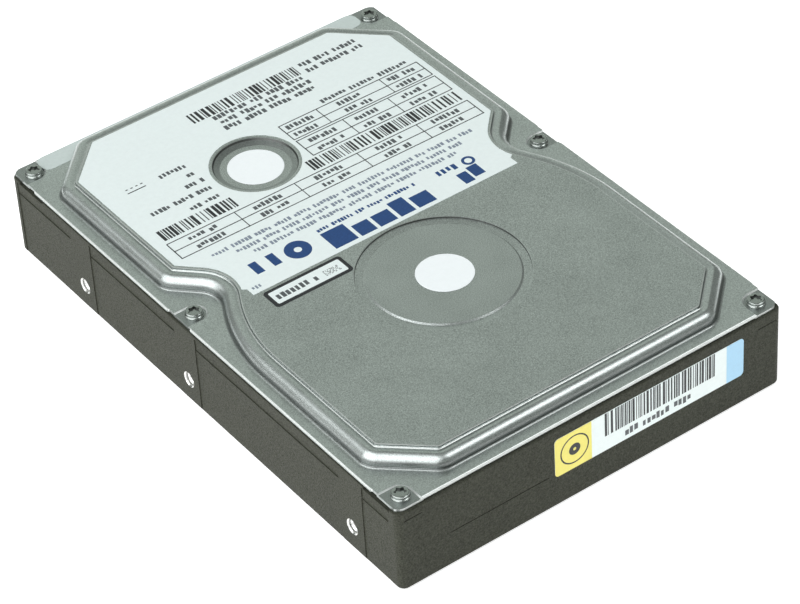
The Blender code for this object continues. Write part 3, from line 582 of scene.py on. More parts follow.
def finish_of(face):
    """The finish of one cover face, as its place in the cover's list of finishes."""
    x, y, z = face.center
    lean = face.normal.z
    if z < FLANGE_TOP - 0.01:
        return low_finish(x, y, z, face.normal)
    if z > PANEL_TOP - 0.01 and lean > 0.99:
        return PLATE
    if math.dist((x, y), SPINDLE) < 22.0:
        return spindle_finish(z, lean)
    if math.dist((x, y), PIVOT) < 12.0:
        return pivot_finish(z, lean)
    # painted highlight: the chamfer round the plate's edge gets the light edge metal
    on_edge = z > 24.69 and 0.4 < lean < 0.93 and panel_distance(x, y) < 0.75
    return PLATE_EDGE_HIGHLIGHT if on_edge else SHEET


def low_finish(x, y, z, normal):
    """The finish below the flange's top: bare edges at the ends, made light as a painted highlight, and the
    seats' darker finish, a painted shade, along the sides.
    """
    if z < PAD_TOP - 0.01:
        if abs(normal.x) > 0.9:
            return SHADED_SEAT
        return BARE_EDGE_HIGHLIGHT if abs(normal.z) < 0.85 and outside_rim(x, y) else SHEET
    if z < PAD_TOP + 0.01 and normal.z > 0.9:
        return SHADED_SEAT
    return BARE_EDGE_HIGHLIGHT if abs(normal.z) < 0.93 else SHEET


def spindle_finish(z, lean):
    # painted shade: the well's steep step wall gets the dark metal
    if lean < 0.5 and z > PANEL_TOP - 0.3:
        return SHADED_WALL
    return PLATE if lean > 0.99 else SHEET


def pivot_finish(z, lean):
    if lean > 0.99:
        return PLATE
    # painted shade: the well's steep wall gets the dark metal, and its lower slopes get the darker seat
    # metal
    if lean < 0.75 and z < 25.1:
        return SHADED_WALL
    return SHADED_SEAT if z < 24.9 else SHEET


def outside_rim(x, y):
    return abs(x) > 49.9 or y < -72.2 or y > 72.9


def panel_distance(x, y):
    return min(math.dist((x, y), point) for point in FINE_PANEL)


def spindle_well():
    """The round opening in the damping plate over the spindle, and the sloped sheet inside it."""
    well = [(0, 25.0), (16.8, 25.0), (16.88, 24.98), (17.22, 24.68), (17.34, 24.66), (18.96, 24.88)]
    well += [(19.06, 24.9), (19.12, 25.22), (19.2, 25.25), (19.36, 25.31), (19.36, 30), (0, 30)]
    return turned("spindle_well", well, SPINDLE, 144)


def pivot_well():
    """The deeper seat of the pivot screw, inside the round hole of the label."""
    well = [(0, 24.3), (8.0, 24.3), (8.12, 24.31), (8.3, 24.4), (9.3, 24.74), (9.45, 24.8)]
    well += [(9.72, 25.2), (9.84, 25.25), (10.0, 25.29), (10.2, 25.31), (10.2, 30), (0, 30)]
    return turned("pivot_well", well, PIVOT, 112)


def pad_outlines(inset):
    """The plan shapes of the six sunk seats: four corners and two open slots at the waist."""
    outlines = []
    for side in (-1, 1):
        near, far = sorted((side * (44.0 + inset), side * 56.0))
        for y in ((-80.0, -66.0 - inset), (66.6 + inset, 80.0)):
            outlines.append(rounded_rect((near, far), y, 3.4 - inset, 10))
        radius = 2.9 - inset
        slot = arc((side * 46.9, 4.7), radius, 90 if side > 0 else -90, 270 if side > 0 else 90, 24)
        slot += [(side * 56.0, 4.7 - side * radius), (side * 56.0, 4.7 + side * radius)]
        outlines.append(slot)
    return outlines


def pad_cutters():
    section = ((0.4, PAD_TOP), (0.3, PAD_TOP + 0.02), (0.05, 21.93), (0.0, 22.03), (0.0, 24.0))
    stacks = [[] for _ in range(6)]
    for inset, z in section:
        for stack, outline in zip(stacks, pad_outlines(inset)):
            stack.append([(x, y, z) for x, y in outline])
    return joined("pads", [loft("pad", stack) for stack in stacks])


def edge_notches():
    """Short steps where the cover's long edges stand back beside each screw."""
    pieces = []
    for side in (-1, 1):
        near, far = sorted((side * 50.25, side * 52.0))
        for y in ((-80.0, -64.0), (0.9, 9.6), (63.5, 80.0)):
            outline = rounded_rect((near, far), y, 0.3, 4)
            pieces.append(prism("notch", outline, 20, 24))
    return joined("notches", pieces)


# ---------------------------------------------------------------- base


def base_piece():
    section = [(0.62, 0.0), (0.12, 0.5), (0.0, 0.75), (0.0, 20.7), (0.1, BASE_TOP - 0.06), (0.25, BASE_TOP)]
    loops = []
    for inset, z in section:
        outline = rounded_rect(
            (-HALF_W + inset, HALF_W - inset), (BASE_FRONT + inset, HALF_L - inset), CORNER_R - inset, 10
        )
        loops.append([(x, y, z) for x, y in outline])
    base = loft("drive_base", loops)
    boolean(base, disc("disk_cavity", 48.3, SPINDLE, CAVITY_FLOOR, 30, 128))
    chamber = [(-38.5, 8), (38.5, 8), (44.3, 15.5), (44.3, 56.5), (38.0, 61.9), (-38.0, 61.9)]
    chamber += [(-44.3, 56.5), (-44.3, 15.5)]
    boolean(base, prism("actuator_chamber", chamber, CAVITY_FLOOR + 0.02, 30))
    ledge = [(-39.5, 59.0), (39.5, 59.0), (39.5, 62.0), (34.0, 68.5), (-34.0, 68.5), (-39.5, 62.0)]
    boolean(base, prism("rear_chamber", ledge, LEDGE_FLOOR, 30))
    boolean(base, prism("board_bay", rounded_rect((-44.2, 44.2), (-66.0, 64.0), 3.0), -1, RECESS_CEILING))
    boolean(base, box("connector_notch", (-48.0, 48.0), (63.2, 80), (-1, 10.9)))
    boolean(base, disc("motor_hole", 11.8, SPINDLE, -5, 30, 64))
    boolean(base, disc("pivot_hole", 2.7, PIVOT, 5, 30, 32))
    boolean(base, hole_cutters())
    boolean(base, side_cutters())
    boolean(base, parting_lines())
    boolean(base, disc("latch_post", 0.9, LATCH, LEDGE_FLOOR - 0.5, 17.4, 24), "UNION")
    boolean(base, rib_set(), "UNION")
    return place(base, black_coat, "base", ["base_casting"])


def hole_cutters():
    pieces = []
    for side in (-1, 1):
        for y in SIDE_HOLES_Y:
            start = 45.6 if side > 0 else -55.6
            hole = [(0, 0), (1.95, 0), (1.95, 10), (0, 10)]
            pieces.append(turned("side_hole", hole, (start, y, 6.35), 40, "X"))
        for y in BOTTOM_HOLES_Y:
            pieces.append(disc("bottom_hole", 1.95, (side * BOTTOM_HOLE_X, y), -1, 4.3, 40))
    for centre in COVER_SCREWS:
        pieces.append(disc("cover_screw_hole", 1.2, centre, 14, 30, 16))
    for centre in BOARD_SCREWS:
        pieces.append(disc("board_screw_hole", 1.15, centre, 5, 7.4, 16))
    return joined("hole_set", pieces)


def side_cutters():
    """Shallow panels between the side-hole bosses, and the gaps under the cover's corners."""
    spans = ((-70.0, -60.8), (-53.0, -0.6), (7.2, 41.0), (48.8, 71.0))
    pieces = []
    for side in (-1, 1):
        x = sorted((side * (HALF_W - 0.2), side * (HALF_W + 2)))
        for span in spans:
            pieces.append(box("side_panel", x, span, (-1, 17.3)))
        x = sorted((side * (HALF_W - 1.6), side * (HALF_W + 2)))
        for span in ((-70.4, -61.5), (60.0, 69.8)):
            pieces.append(box("corner_gap", x, span, (20.1, 25)))
    return joined("side_set", pieces)


def parting_lines():
    """Marks left by the die: the side panels carried on up the wall, and three grooves on the front."""
    pieces = []
    for side in (-1, 1):
        x = sorted((side * (HALF_W - 0.2), side * (HALF_W + 2)))
        for span in ((-70.0, -60.9), (-52.9, -0.7), (7.3, 40.9), (48.9, 71.0)):
            pieces.append(box("side_step", x, span, (17.3, 20.4)))
    front = (BASE_FRONT - 2, BASE_FRONT + 0.16)
    for x, z in (((-49.2, -44.6), 18.7), ((44.0, 49.2), 18.2), ((-38.0, -12.5), 9.1)):
        pieces.append(box("front_line", x, front, (z, z + 0.22)))
    return joined("line_set", pieces)


def rib_set():
    pieces = [turned("rib_hub", [(13.0, 4.4), (14.6, 4.4), (14.6, 6.5), (13.0, 6.5)], SPINDLE, 64)]
    for degrees, inner in ((-145, 25.0), (-120, 17.5), (-90, 17.5), (-60, 17.5), (-35, 25.0)):
        spoke = [(inner, -0.7), (41.0, -0.7), (41.0, 0.7), (inner, 0.7)]
        pieces.append(prism("rib", about(SPINDLE, math.radians(degrees), spoke), 4.6, 6.5))
    return joined("ribs", pieces)


def hole_threads():
    """Bright cut threads in the side and bottom holes, each with a countersunk mouth."""
    pieces = []
    pitch = 0.794
    profile = [(1.93, 0.02), (1.62, 0.3)]
    for i in range(1, 5):
        profile += [(1.7, (i + 0.0) * pitch), (1.4, (i + 0.5) * pitch)]
    profile += [(0.0, 4.1), (0.0, 4.4), (1.74, 4.4), (1.74, 0.5), (1.93, 0.3)]
    for side in (-1, 1):
        for y in SIDE_HOLES_Y:
            flip = [(r, side * (HALF_W - z)) for r, z in profile]
            pieces.append(turned("thread", flip, (0, y, 6.35), 40, "X"))
        for y in BOTTOM_HOLES_Y:
            short = [(r, z * 0.9) for r, z in profile]
            pieces.append(turned("thread", short, (side * BOTTOM_HOLE_X, y), 40))
    return place(joined("mounting_threads", pieces), thread_metal, "base")


# ---------------------------------------------------------------- screws


def star(centre, radius, depth, count, per=6):
    points = []
    total = count * per
    for i in range(total):
        angle = 2 * math.pi * i / total
        r = radius - depth * (0.5 - 0.5 * math.cos(count * angle)) ** 0.8
        points.append((centre[0] + r * math.cos(angle), centre[1] + r * math.sin(angle)))
    return points


def cover_screw(number, centre):
    low = PAD_TOP + 0.01
    shank = [(0, 15.0), (0.75, 15.0), (1.0, 15.4), (1.0, low)]
    head = [(2.0, 0.0), (2.08, 0.06), (2.1, 0.24), (2.04, 0.36), (1.9, 0.44), (1.84, 0.5), (1.84, 0.58)]
    head += [(1.9, 0.66), (1.92, 1.0), (1.88, 1.12), (1.78, 1.2), (1.68, 1.22), (0, 1.22)]
    profile = shank + [(r, low + z) for r, z in head]
    screw = turned(f"cover_screw_{number}_detail", profile, centre, 56)
    socket = about(centre, 0.5 * number, star((0, 0), 1.4, 0.4, 6))
    boolean(screw, prism("socket", socket, low + 0.74, 25))
    for face in screw.data.polygons:
        # painted shade: the socket's steep inner walls get the dark metal
        x, y, z = face.center
        inside = math.dist((x, y), centre) < 1.45 and z > low + 0.72
        face.material_index = int(inside and abs(face.normal.z) < 0.5)
    return place(screw, [steel, socket_wall], "cover", [f"cover_screw_{number}"])


# ---------------------------------------------------------------- labels


class Print:
    """Flat ink marks in one plane, gathered by material, at a height above their label."""

    def __init__(self, name, place_point):
        self.name = name
        self.place_point = place_point
        self.meshes = {}

    def quad(self, ink, corners):
        bm = self.meshes.setdefault(ink, bmesh.new())
        bm.faces.new([bm.verts.new(self.place_point(u, v)) for u, v in corners])

    def rect(self, ink, u, v):
        self.quad(ink, [(u[0], v[0]), (u[1], v[0]), (u[1], v[1]), (u[0], v[1])])

    def frame(self, ink, u, v, line):
        self.rect(ink, u, (v[0], v[0] + line))
        self.rect(ink, u, (v[1] - line, v[1]))
        self.rect(ink, (u[0], u[0] + line), (v[0] + line, v[1] - line))
        self.rect(ink, (u[1] - line, u[1]), (v[0] + line, v[1] - line))

    def bars(self, ink, u, v, seed, unit=0.26):
        """A run of parallel bars of one to three units with gaps of one to three."""
        pick = random.Random(seed)
        at = u[0]
        while at < u[1] - unit:
            width = unit * pick.choice((1, 1, 2, 2, 3))
            self.rect(ink, (at, min(at + width, u[1])), v)
            at += width + unit * pick.choice((1, 1, 1, 2, 2, 3))

    def words(self, ink, u, v, seed, pitch=0.68):
        """A line of blank blocks, one per character, that stands for print without holding any."""
        pick = random.Random(seed)
        height = v[1] - v[0]
        step = height * pitch
        at = u[0]
        while at < u[1] - step:
            for _ in range(pick.randint(3, 8)):
                if at > u[1] - step:
                    break
                low = v[0] + height * pick.choice((0.0, 0.0, 0.12, 0.26))
                high = v[1] - height * pick.choice((0.0, 0.0, 0.1, 0.24))
                self.rect(ink, (at, at + step * pick.choice((0.6, 0.7, 0.8))), (low, high))
                at += step
            at += step * 0.9

    def ring(self, ink, centre, outer, inner, start=0.0, end=360.0, steps=32):
        far = arc(centre, outer, start, end, steps)
        near = arc(centre, inner, start, end, steps)
        for i in range(steps):
            self.quad(ink, [near[i], far[i], far[i + 1], near[i + 1]])

    def finish(self, body, inks):
        for ink, bm in self.meshes.items():
            obj = shell(f"{self.name}_{ink}", bm)
            place(obj, inks[ink], body, weighted=False)


INKS = {
    "black": ink_black,
    "soft": ink_soft,
    "blue": ink_blue,
    "grey": ink_grey,
    "yellow": film_yellow,
    "sky": film_blue,
    "white": label_film,
}


def top_labels():
    edge = [(x, y) for x, y in panel_offset(-0.35) if y > 1.0]
    outline = edge + [(-35.7, 0.5), (-35.7, -2.0), (35.7, -2.0), (35.7, 0.5)]
    label = prism("main_label", outline, PANEL_TOP + 0.01, PANEL_TOP + 0.08)
    boolean(label, disc("label_hole", 10.5, PIVOT, 20, 30, 96))
    place(label, label_film, "cover", ["top_label"], weighted=False)
    tilt = math.radians(-0.35)

    def on_label(u, v):
        x, y = about((0, 30), tilt, [(u, v - 30)])[0]
        return (x, y, PANEL_TOP + 0.092)

    ink = Print("label_print", on_label)
    top_print(ink)
    ink.finish("cover", INKS)


def top_print(ink):
    ink.bars("black", (-11.3, 19.1), (57.0, 60.8), 11)
    for row, (u0, u1, v) in enumerate(((-7.0, 19.0, 55.0), (-6.5, 19.2, 52.6), (-7.0, 19.2, 50.2))):
        ink.words("soft", (u0, u1), (v, v + 1.7), 20 + row)
    ink.words("soft", (19.8, 36.0), (59.2, 60.8), 31)
    ink.words("soft", (20.0, 37.8), (56.5, 58.1), 32)
    ink.words("soft", (15.6, 41.3), (44.5, 46.0), 33)
    tables = (
        ((2.5, 41.6), (37.2, 40.4, 43.8), (13.0, 30.8)),
        ((2.5, 41.6), (29.7, 33.0, 36.7), (15.4, 28.0)),
        ((-40.6, 41.6), (17.8, 21.0, 24.3), (-22.7, -6.6, 10.5, 27.0)),
    )
    seed = 40
    for u, rows, columns in tables:
        ink.frame("black", u, (rows[0], rows[2]), 0.28)
        ink.rect("black", (u[0] + 0.28, u[1] - 0.28), (rows[1] - 0.14, rows[1] + 0.14))
        edges = [u[0], *columns, u[1]]
        for column in columns:
            ink.rect("black", (column - 0.12, column + 0.12), (rows[0] + 0.28, rows[2] - 0.28))
        for left, right in zip(edges, edges[1:]):
            for low, high in zip(rows, rows[1:]):
                seed += 1
                width = min(right - left - 2.4, 8.0)
                start = (left + right - width) / 2
                middle = (low + high) / 2
                ink.words("soft", (start, start + width), (middle - 0.85, middle + 0.75), seed)
    ink.bars("black", (-0.4, 41.0), (25.1, 29.0), 61)
    ink.bars("black", (-40.0, -20.5), (25.4, 29.3), 62)
    rows = ((-29.5, 30.6), (-37.3, 34.4), (-26.0, 37.8), (-23.5, 41.2), (-28.5, 44.6))
    for row, (u0, v) in enumerate(rows):
        ink.words("soft", (u0, -20.8), (v, v + 1.5), 70 + row)
    ink.rect("black", (-37.2, -32.4), (44.7, 45.0))
    for i in range(4):
        ink.rect("black", (-37.0 + i * 1.3, -36.4 + i * 1.3), (46.0, 46.3))
    for row, (u0, u1, v) in enumerate(((-35.0, 36.0, 14.0), (-30.0, 31.0, 11.7), (-27.0, 28.0, 9.4))):
        ink.words("grey", (u0, u1), (v, v + 1.3), 80 + row)
    emblem(ink)


def emblem(ink):
    """Plain blocks, rings and dots in blue, in place of any maker's or test house's print."""
    at = -12.8
    blocks = ((6.0, -0.8, 5.6), (4.2, -0.8, 3.6), (4.6, -0.8, 3.6), (4.0, -0.8, 5.0), (4.8, -0.8, 3.6))
    for width, low, high in blocks:
        ink.rect("blue", (at, at + width), (low, high))
        at += width + 0.9
    ink.words("blue", (-12.6, 14.0), (6.3, 7.5), 90)
    ink.ring("blue", (-19.4, 4.4), 3.1, 0.9, steps=40)
    ink.rect("blue", (-26.4, -24.4), (2.9, 7.1))
    ink.rect("blue", (-30.9, -28.9), (2.9, 7.1))
    ink.ring("blue", (28.0, 6.0), 1.6, 0.9, steps=32)
    ink.words("blue", (19.6, 25.4), (5.2, 7.2), 93)
    ink.rect("blue", (22.6, 25.2), (-0.6, 3.4))
    ink.rect("blue", (25.8, 28.6), (0.2, 4.2))
    ink.words("grey", (-34.6, -32.0), (-1.0, 0.2), 97)


def serial_label():
    outline = rounded_rect((-34.2, -14.0), (-8.8, -2.8), 0.9, 6)
    label = prism("small_label", outline, PANEL_TOP + 0.01, PANEL_TOP + 0.07)
    place(label, ink_black, "cover", ["serial_label"], weighted=False)

    def on_label(u, v):
        return (u, v, PANEL_TOP + 0.085)

    outline = rounded_rect((-33.3, -14.9), (-7.95, -3.65), 0.35, 4)
    field = prism("small_label_field", outline, PANEL_TOP + 0.05, PANEL_TOP + 0.08)
    place(field, label_film, "cover", weighted=False)
    ink = Print("small_label_print", on_label)
    ink.words("soft", (-32.4, -21.0), (-6.8, -5.0), 101)
    for i in range(6):
        ink.bars("black", (-20.0, -16.0), (-6.9 + i * 0.32, -6.72 + i * 0.32), 110 + i, 0.2)
    ink.finish("cover", INKS)


def seals():
    for name, centre, z in (("spindle", (0.25, -22.0), 25.01), ("pivot", PIVOT, 24.31)):
        profile = [(0, z), (6.4, z), (6.45, z + 0.04), (6.38, z + 0.09), (0, z + 0.1)]
        seal = turned(f"{name}_seal_film", profile, centre, 96)
        place(seal, seal_film, "cover", [f"{name}_seal"], weighted=False)


def end_label():
    front = BASE_FRONT - 0.02
    back = BASE_FRONT - 0.09
    outline = rounded_rect((-11.0, 40.0), (8.3, 18.5), 1.0, 6)
    label = loft("end_label_film", [[(x, y, z) for x, z in outline] for y in (front, back)])
    place(label, label_film, "base", ["end_label"], weighted=False)

    def on_end(u, v):
        return (u, -HALF_L + 0.015, v)

    ink = Print("end_label_print", on_end)
    left = arc((-10.0, 17.5), 1.0, 90, 180, 6) + arc((-10.0, 9.3), 1.0, 180, 270, 6)
    ink.quad("yellow", left + [(-1.3, 8.3), (-1.3, 18.5)])
    right = arc((39.0, 9.3), 1.0, -90, 0, 6) + arc((39.0, 17.5), 1.0, 0, 90, 6)
    ink.quad("sky", right + [(35.3, 18.5), (35.3, 8.3)])
    ink.finish("base", INKS)

    def over_end(u, v):
        return (u, -HALF_L + 0.002, v)

    marks = Print("end_label_marks", over_end)
    marks.bars("black", (2.2, 32.3), (12.2, 18.4), 120, 0.2)
    marks.words("soft", (7.6, 26.4), (9.4, 11.2), 121)
    marks.ring("black", (-5.8, 13.5), 3.8, 3.45, steps=40)
    marks.ring("black", (-5.8, 13.5), 1.5, 0.4, steps=24)
    marks.finish("base", INKS)


def edge_tape():
    strip = rounded_rect((-44.6, 44.2), (67.9, 73.2), 2.0, 8)
    tape = prism("edge_tape_film", strip, FLANGE_TOP + 0.01, FLANGE_TOP + 0.07)
    boolean(tape, panel_solid("tape_edge", [(4.15, 20), (4.15, 30)]))
    place(tape, tape_foil, "cover", ["edge_tape"], weighted=False)


# ---------------------------------------------------------------- inside the case


def refined(node, body, material, bevel=0.00012):
    """A CAD solid as a piece of its own, with its edges rounded over."""
    piece = bpy.data.objects.new(f"{node}_detail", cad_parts[node].data.copy())
    bpy.context.scene.collection.objects.link(piece)
    stored = piece.data.attributes.get("custom_normal")
    if stored:
        piece.data.attributes.remove(stored)
    return place(piece, material, body, [node], scale=1.0, bevel=bevel)


def refined_pieces():
    steel_nodes = ("magnet_plate_lower", "magnet_plate_upper")
    for node in steel_nodes:
        refined(node, "base", bright_steel, 0.0002)
    for node in ("magnet_lower", "magnet_upper"):
        refined(node, "base", nickel, 0.0002)
    for node in ("controller_chip", "channel_chip", "motor_driver_chip"):
        refined(node, "base", resin, 0.0001)
    for node in ("ide_connector", "jumper_header"):
        refined(node, "base", black_plastic)
    refined("power_connector", "base", white_plastic)
    refined("flex_bracket", "base", black_plastic, 0.0002)
    refined("crash_stop", "base", rubber, 0.0002)
    refined("recirculation_filter", "base", cloth, 0.0003)
    refined("actuator_latch", "latch", white_plastic, 0.0002)
    refined("jumper_shunt", "jumper", white_plastic, 0.00015)
    refined("voice_coil", "actuator", copper, 0.0003)


def dress_cad_nodes():
    """Procedural finishes on the CAD solids that are shown as they are."""
    finishes = (
        (rubber, ("cover_gasket",)),
        (turned_metal, ("spindle_shaft",)),
        (pivot_metal, ("pivot_shaft", "pivot_bearing")),
        (copper, ("motor_stator",)),
        (board_green, ("controller_board",)),
        (insulator, ("insulator_sheet",)),
        (pin_gold, ("ide_pins", "jumper_pins")),
        (solder, ("power_pins",)),
        (steel, ("board_screw_1", "board_screw_2", "board_screw_3", "board_screw_4")),
        (machined, ("arm_block",)),
        (spring_steel, tuple(f"head_suspension_{i}" for i in range(1, 6))),
    )
    for material, nodes in finishes:
        for node in nodes:
            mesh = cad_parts[node].data
            mesh.materials.clear()
            mesh.materials.append(material)


def ring_section(bore, radius, low, high, edge):
    """The profile of a flat ring, with its two outer corners taken off."""
    outer = [(radius - 0.1, low), (radius, low + edge), (radius, high - edge), (radius - 0.1, high)]
    return [(bore, low), *outer, (bore, high)]


def disk_stack():
    """Platters, spacers, hub and clamp, turned finely enough for a clean mirror edge."""
    for i, z in enumerate(PLATTER_Z):
        profile = ring_section(STACK_BORE, 47.5, z - 0.5, z + 0.5, 0.12)
        platter = turned(f"platter_{i + 1}_disc", profile, SPINDLE, 160)
        place(platter, platter_film, "disk_stack", [f"platter_{i + 1}"])
    for i, (below, above) in enumerate(zip(PLATTER_Z, PLATTER_Z[1:])):
        profile = ring_section(STACK_BORE, 16.0, below + 0.51, above - 0.51, 0.1)
        spacer = turned(f"disk_spacer_{i + 1}_ring", profile, SPINDLE, 96)
        place(spacer, turned_metal, "disk_stack", [f"disk_spacer_{i + 1}"])
    hub = [(2.9, 18.0), (11.0, 18.0), (11.0, 8.6), (15.9, 8.6), (16.0, 8.7), (16.0, 9.4), (15.4, 10.45)]
    hub += [(12.5, 10.45), (12.5, 22.2), (11.6, 22.9), (6.2, 22.9), (6.0, 23.0), (6.0, 23.15)]
    hub += [(5.9, 23.2), (2.9, 23.2)]
    turning = turned("hub_turning", hub, SPINDLE, 96)
    place(turning, turned_metal, "disk_stack", ["spindle_hub"])
    clamp_ring()
    clamp_screws()


def clamp_ring():
    clamp = [(12.55, 20.67), (15.9, 20.67), (16.0, 20.77), (16.0, 21.4), (15.1, 22.25), (15.0, 22.3)]
    ring = turned("disk_clamp_ring", clamp + [(12.55, 22.3)], SPINDLE, 96)
    centres = [about(SPINDLE, math.radians(60 * i), [(14.3, 0)])[0] for i in range(6)]
    dimples = [disc("dimple", 0.8, centre, 21.7, 24, 24) for centre in centres]
    boolean(ring, joined("dimples", dimples))
    place(ring, turned_metal, "disk_stack", ["disk_clamp"])


def clamp_screws():
    screws = []
    for i in range(6):
        centre = about(SPINDLE, math.radians(60 * i + 30), [(9.0, 0)])[0]
        head = [(0, 22.6), (1.5, 22.6), (1.5, 23.1), (1.35, 23.25), (0, 23.25)]
        screw = turned("clamp_screw", head, centre, 32)
        screws.append(boolean(screw, prism("hex", star(centre, 0.8, 0.2, 6), 22.9, 25)))
    place(joined("clamp_screws", screws), steel, "disk_stack")


def ribbon():
    """The flexible circuit, a loop on edge from its bracket to the arm hub, with its printed tracks."""
    start, end = (11.7, 50.0), about(PIVOT, math.radians(50), [(8.8, 0)])[0]
    path = []
    for i in range(49):
        t = i / 48
        x = start[0] + (end[0] - start[0]) * t
        y = start[1] + (end[1] - start[1]) * t
        path.append((x, y + 3.4 * math.sin(math.pi * t)))
    strip = prism("flex_ribbon", beside(path, -0.06, 0.06), *RIBBON_Z)
    side = beside(path, 0.061, 0.085)
    tracks = [prism("track", side, z, z + 0.5) for z in (12.6, 13.7, 14.8, 15.9, 17.0, 18.1)]
    printed = joined("flex_tracks", tracks)
    for piece, material, nodes in ((strip, amber_film, ["flex_cable"]), (printed, pin_gold, [])):
        place(piece, material, None, nodes, weighted=False)
        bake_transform(piece)


def beside(path, low, high):
    """A closed outline between two distances to the left of an open path."""
    near, far = [], []
    for i, (x, y) in enumerate(path):
        before, after = path[max(0, i - 1)], path[min(len(path) - 1, i + 1)]
        dx, dy = after[0] - before[0], after[1] - before[1]
        length = math.hypot(dx, dy)
        near.append((x - dy / length * low, y + dx / length * low))
        far.append((x - dy / length * high, y + dx / length * high))
    return near + far[::-1]


# ---------------------------------------------------------------- board

# Of each chip: the x and y of its centre, and its side.
CHIPS = ((14.0, 22.0, 20.0), (-16.0, 30.0, 14.0), (-18.0, 6.0, 12.0))
BOARD_FACE = 4.0
LEAD_PITCH = 0.8
LEAD_HALF = 0.17
# Of each bend: its start and end, from the chip's side, then its bottom and top, below the board.
LEAD_BENDS = (
    ("foot", 0.45, 1.3, 0.16, 0.02),
    ("rise", -0.05, 0.46, 0.85, 0.7),
    ("step", 0.33, 0.46, 0.7, 0.16),
)


def clear_of_parts(x, y, margin):
    for cx, cy, size in CHIPS:
        if max(abs(x - cx), abs(y - cy)) < size / 2 + 2.0 + margin:
            return False
    if math.dist((x, y), SPINDLE) < 16.5 + margin:
        return False
    return min(math.dist((x, y), screw) for screw in BOARD_SCREWS) > 3.0 + margin


def on_board(x, y):
    return abs(x) < 42.5 and y < 61


def chip_leads():
    """Rows of gull-wing leads: a foot on the board, a rise at the chip's side and the step between them."""
    leads = []
    for cx, cy, size in CHIPS:
        edge = size / 2
        count = int(size / LEAD_PITCH) - 2
        for side in range(4):
            angle = side * math.pi / 2
            for i in range(count):
                across = (i - (count - 1) / 2) * LEAD_PITCH
                left, right = across - LEAD_HALF, across + LEAD_HALF
                for name, near, far, low, high in LEAD_BENDS:
                    start, end = edge + near, edge + far
                    corners = [(start, left), (end, left), (end, right), (start, right)]
                    outline = about((cx, cy), angle, corners)
                    leads.append(prism(name, outline, BOARD_FACE - low, BOARD_FACE - high))
    place(joined("chip_leads", leads), solder, "base", weighted=False)


def board_parts():
    """Small two-ended parts scattered over the free board, turned either way."""
    pick = random.Random(7)
    bodies, ends, taken = [], [], []
    while len(taken) < 64:
        x, y = pick.uniform(-40, 40), pick.uniform(-31, 58)
        length = pick.choice((1.6, 2.0, 3.2))
        if not clear_of_parts(x, y, length / 2) or any(math.dist((x, y), other) < 4.2 for other in taken):
            continue
        taken.append((x, y))
        angle = pick.choice((0.0, math.pi / 2))
        half, wide, height = length / 2, length * 0.26, 0.35 + length * 0.14
        for low, high, pieces, drop in (
            (-half + 0.3, half - 0.3, bodies, height),
            (-half, -half + 0.31, ends, height + 0.03),
            (half - 0.31, half, ends, height + 0.03),
        ):
            outline = about((x, y), angle, [(low, -wide), (high, -wide), (high, wide), (low, wide)])
            pieces.append(prism("chip_part", outline, BOARD_FACE - drop, BOARD_FACE - 0.02))
    place(joined("board_part_bodies", bodies), ceramic, "base", weighted=False)
    place(joined("board_part_ends", ends), solder, "base", weighted=False)


def board_tracks():
    """Raised tracks under the solder mask: runs along and across the board, each ending in a round via."""
    pick = random.Random(21)
    runs, vias = [], []
    for _ in range(150):
        x, y = pick.uniform(-41, 41), pick.uniform(-32, 60)
        length = pick.uniform(3.0, 12.0)
        ends = [(x, y), (x + length, y)] if pick.random() < 0.5 else [(x, y), (x, y + length)]
        middle = ((ends[0][0] + ends[1][0]) / 2, (ends[0][1] + ends[1][1]) / 2)
        if not all(clear_of_parts(*point, -1.5) and on_board(*point) for point in (*ends, middle)):
            continue
        (x0, y0), (x1, y1) = ends
        x_span, y_span = (x0 - 0.12, x1 + 0.12), (y0 - 0.12, y1 + 0.12)
        runs.append(box("run", x_span, y_span, (BOARD_FACE - 0.035, BOARD_FACE - 0.005)))
        vias += [disc("via", 0.42, end, BOARD_FACE - 0.05, BOARD_FACE - 0.005, 12) for end in ends]
    place(joined("board_tracks", runs), track_green, "base", weighted=False)
    place(joined("board_vias", vias), solder, "base", weighted=False)


# ---------------------------------------------------------------- studio


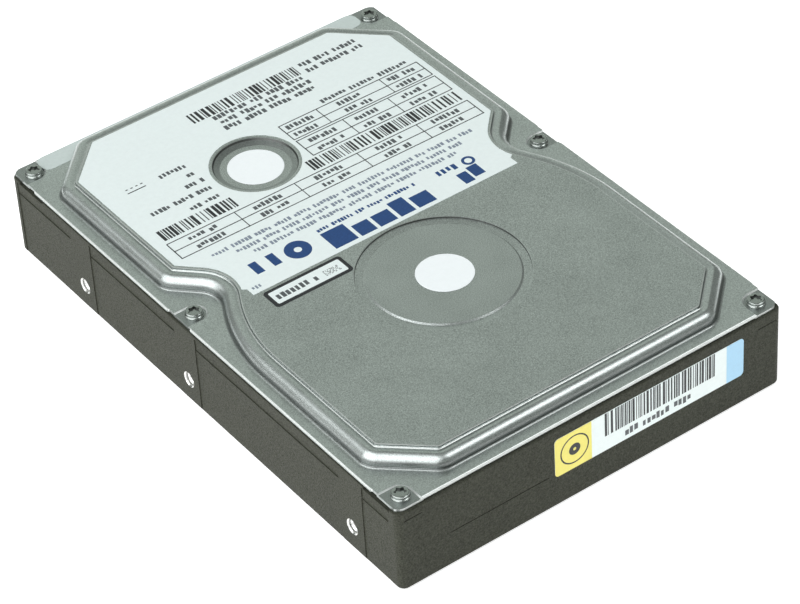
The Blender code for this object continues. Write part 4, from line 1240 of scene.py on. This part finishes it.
def studio():
    scene = bpy.context.scene
    camera = bpy.data.objects.new("camera", bpy.data.cameras.new("camera"))
    scene.collection.objects.link(camera)
    camera.location = (-0.32997, -0.49007, 0.49031)
    camera.rotation_euler = [math.radians(a) for a in (50.36353, 2.93422, -36.58453)]
    camera.data.sensor_width = 36.0
    camera.data.lens = 155.223
    camera.data.shift_x = 0.0024
    camera.data.shift_y = 0.0038
    camera.data.clip_start = 0.01
    camera.data.clip_end = 20.0
    scene.camera = camera
    scene.view_settings.view_transform = "Standard"

    floor = shell("floor", quad_plane(4.0))
    floor.location.z = -0.0002
    paint = Shader("floor_paint", (0.86, 0.86, 0.86), 0.9)
    paint.surface.inputs["Emission Color"].default_value = (1, 1, 1, 1)
    paint.surface.inputs["Emission Strength"].default_value = 0.68
    paint.bump(paint.noise(900.0), 0.00001)
    floor.data.materials.append(paint.material)

    world = bpy.data.worlds.new("studio")
    world.use_nodes = True
    world.node_tree.nodes["Background"].inputs["Color"].default_value = (0.93, 1.0, 0.94, 1.0)
    world.node_tree.nodes["Background"].inputs["Strength"].default_value = 0.22
    scene.world = world
    area_light("key", (-0.72, -0.1, 0.687), 1.3, 1.9, 24.0, (0.97, 0.98, 1.0))
    area_light("back", (0.36, 0.8, 0.48), 1.5, 1.5, 2.7, (0.9, 1.0, 0.92))
    area_light("left_strip", (-0.5, 0.635, 0.589), 1.2, 0.35, 0.3, (0.97, 0.98, 1.0))
    area_light("right_strip", (0.428, -0.45, 0.784), 1.2, 0.5, 2.6, (0.97, 0.98, 1.0))


def quad_plane(half):
    bm = bmesh.new()
    corners = ((-half, -half), (half, -half), (half, half), (-half, half))
    bm.faces.new([bm.verts.new((x, y, 0.0)) for x, y in corners])
    return bm


def area_light(name, direction, distance, size, power, colour):
    light = bpy.data.objects.new(name, bpy.data.lights.new(name, "AREA"))
    bpy.context.scene.collection.objects.link(light)
    light.data.shape = "SQUARE"
    light.data.size = size
    light.data.energy = power
    light.data.color = colour
    towards = Vector(direction).normalized()
    light.location = towards * distance
    light.rotation_euler = (-towards).to_track_quat("-Z", "Y").to_euler()


studio()
cover_piece()
base_piece()
hole_threads()
for index, place_point in enumerate(COVER_SCREWS):
    cover_screw(index + 1, place_point)
top_labels()
serial_label()
seals()
end_label()
edge_tape()
disk_stack()
ribbon()
refined_pieces()
dress_cad_nodes()
chip_leads()
board_parts()
board_tracks()
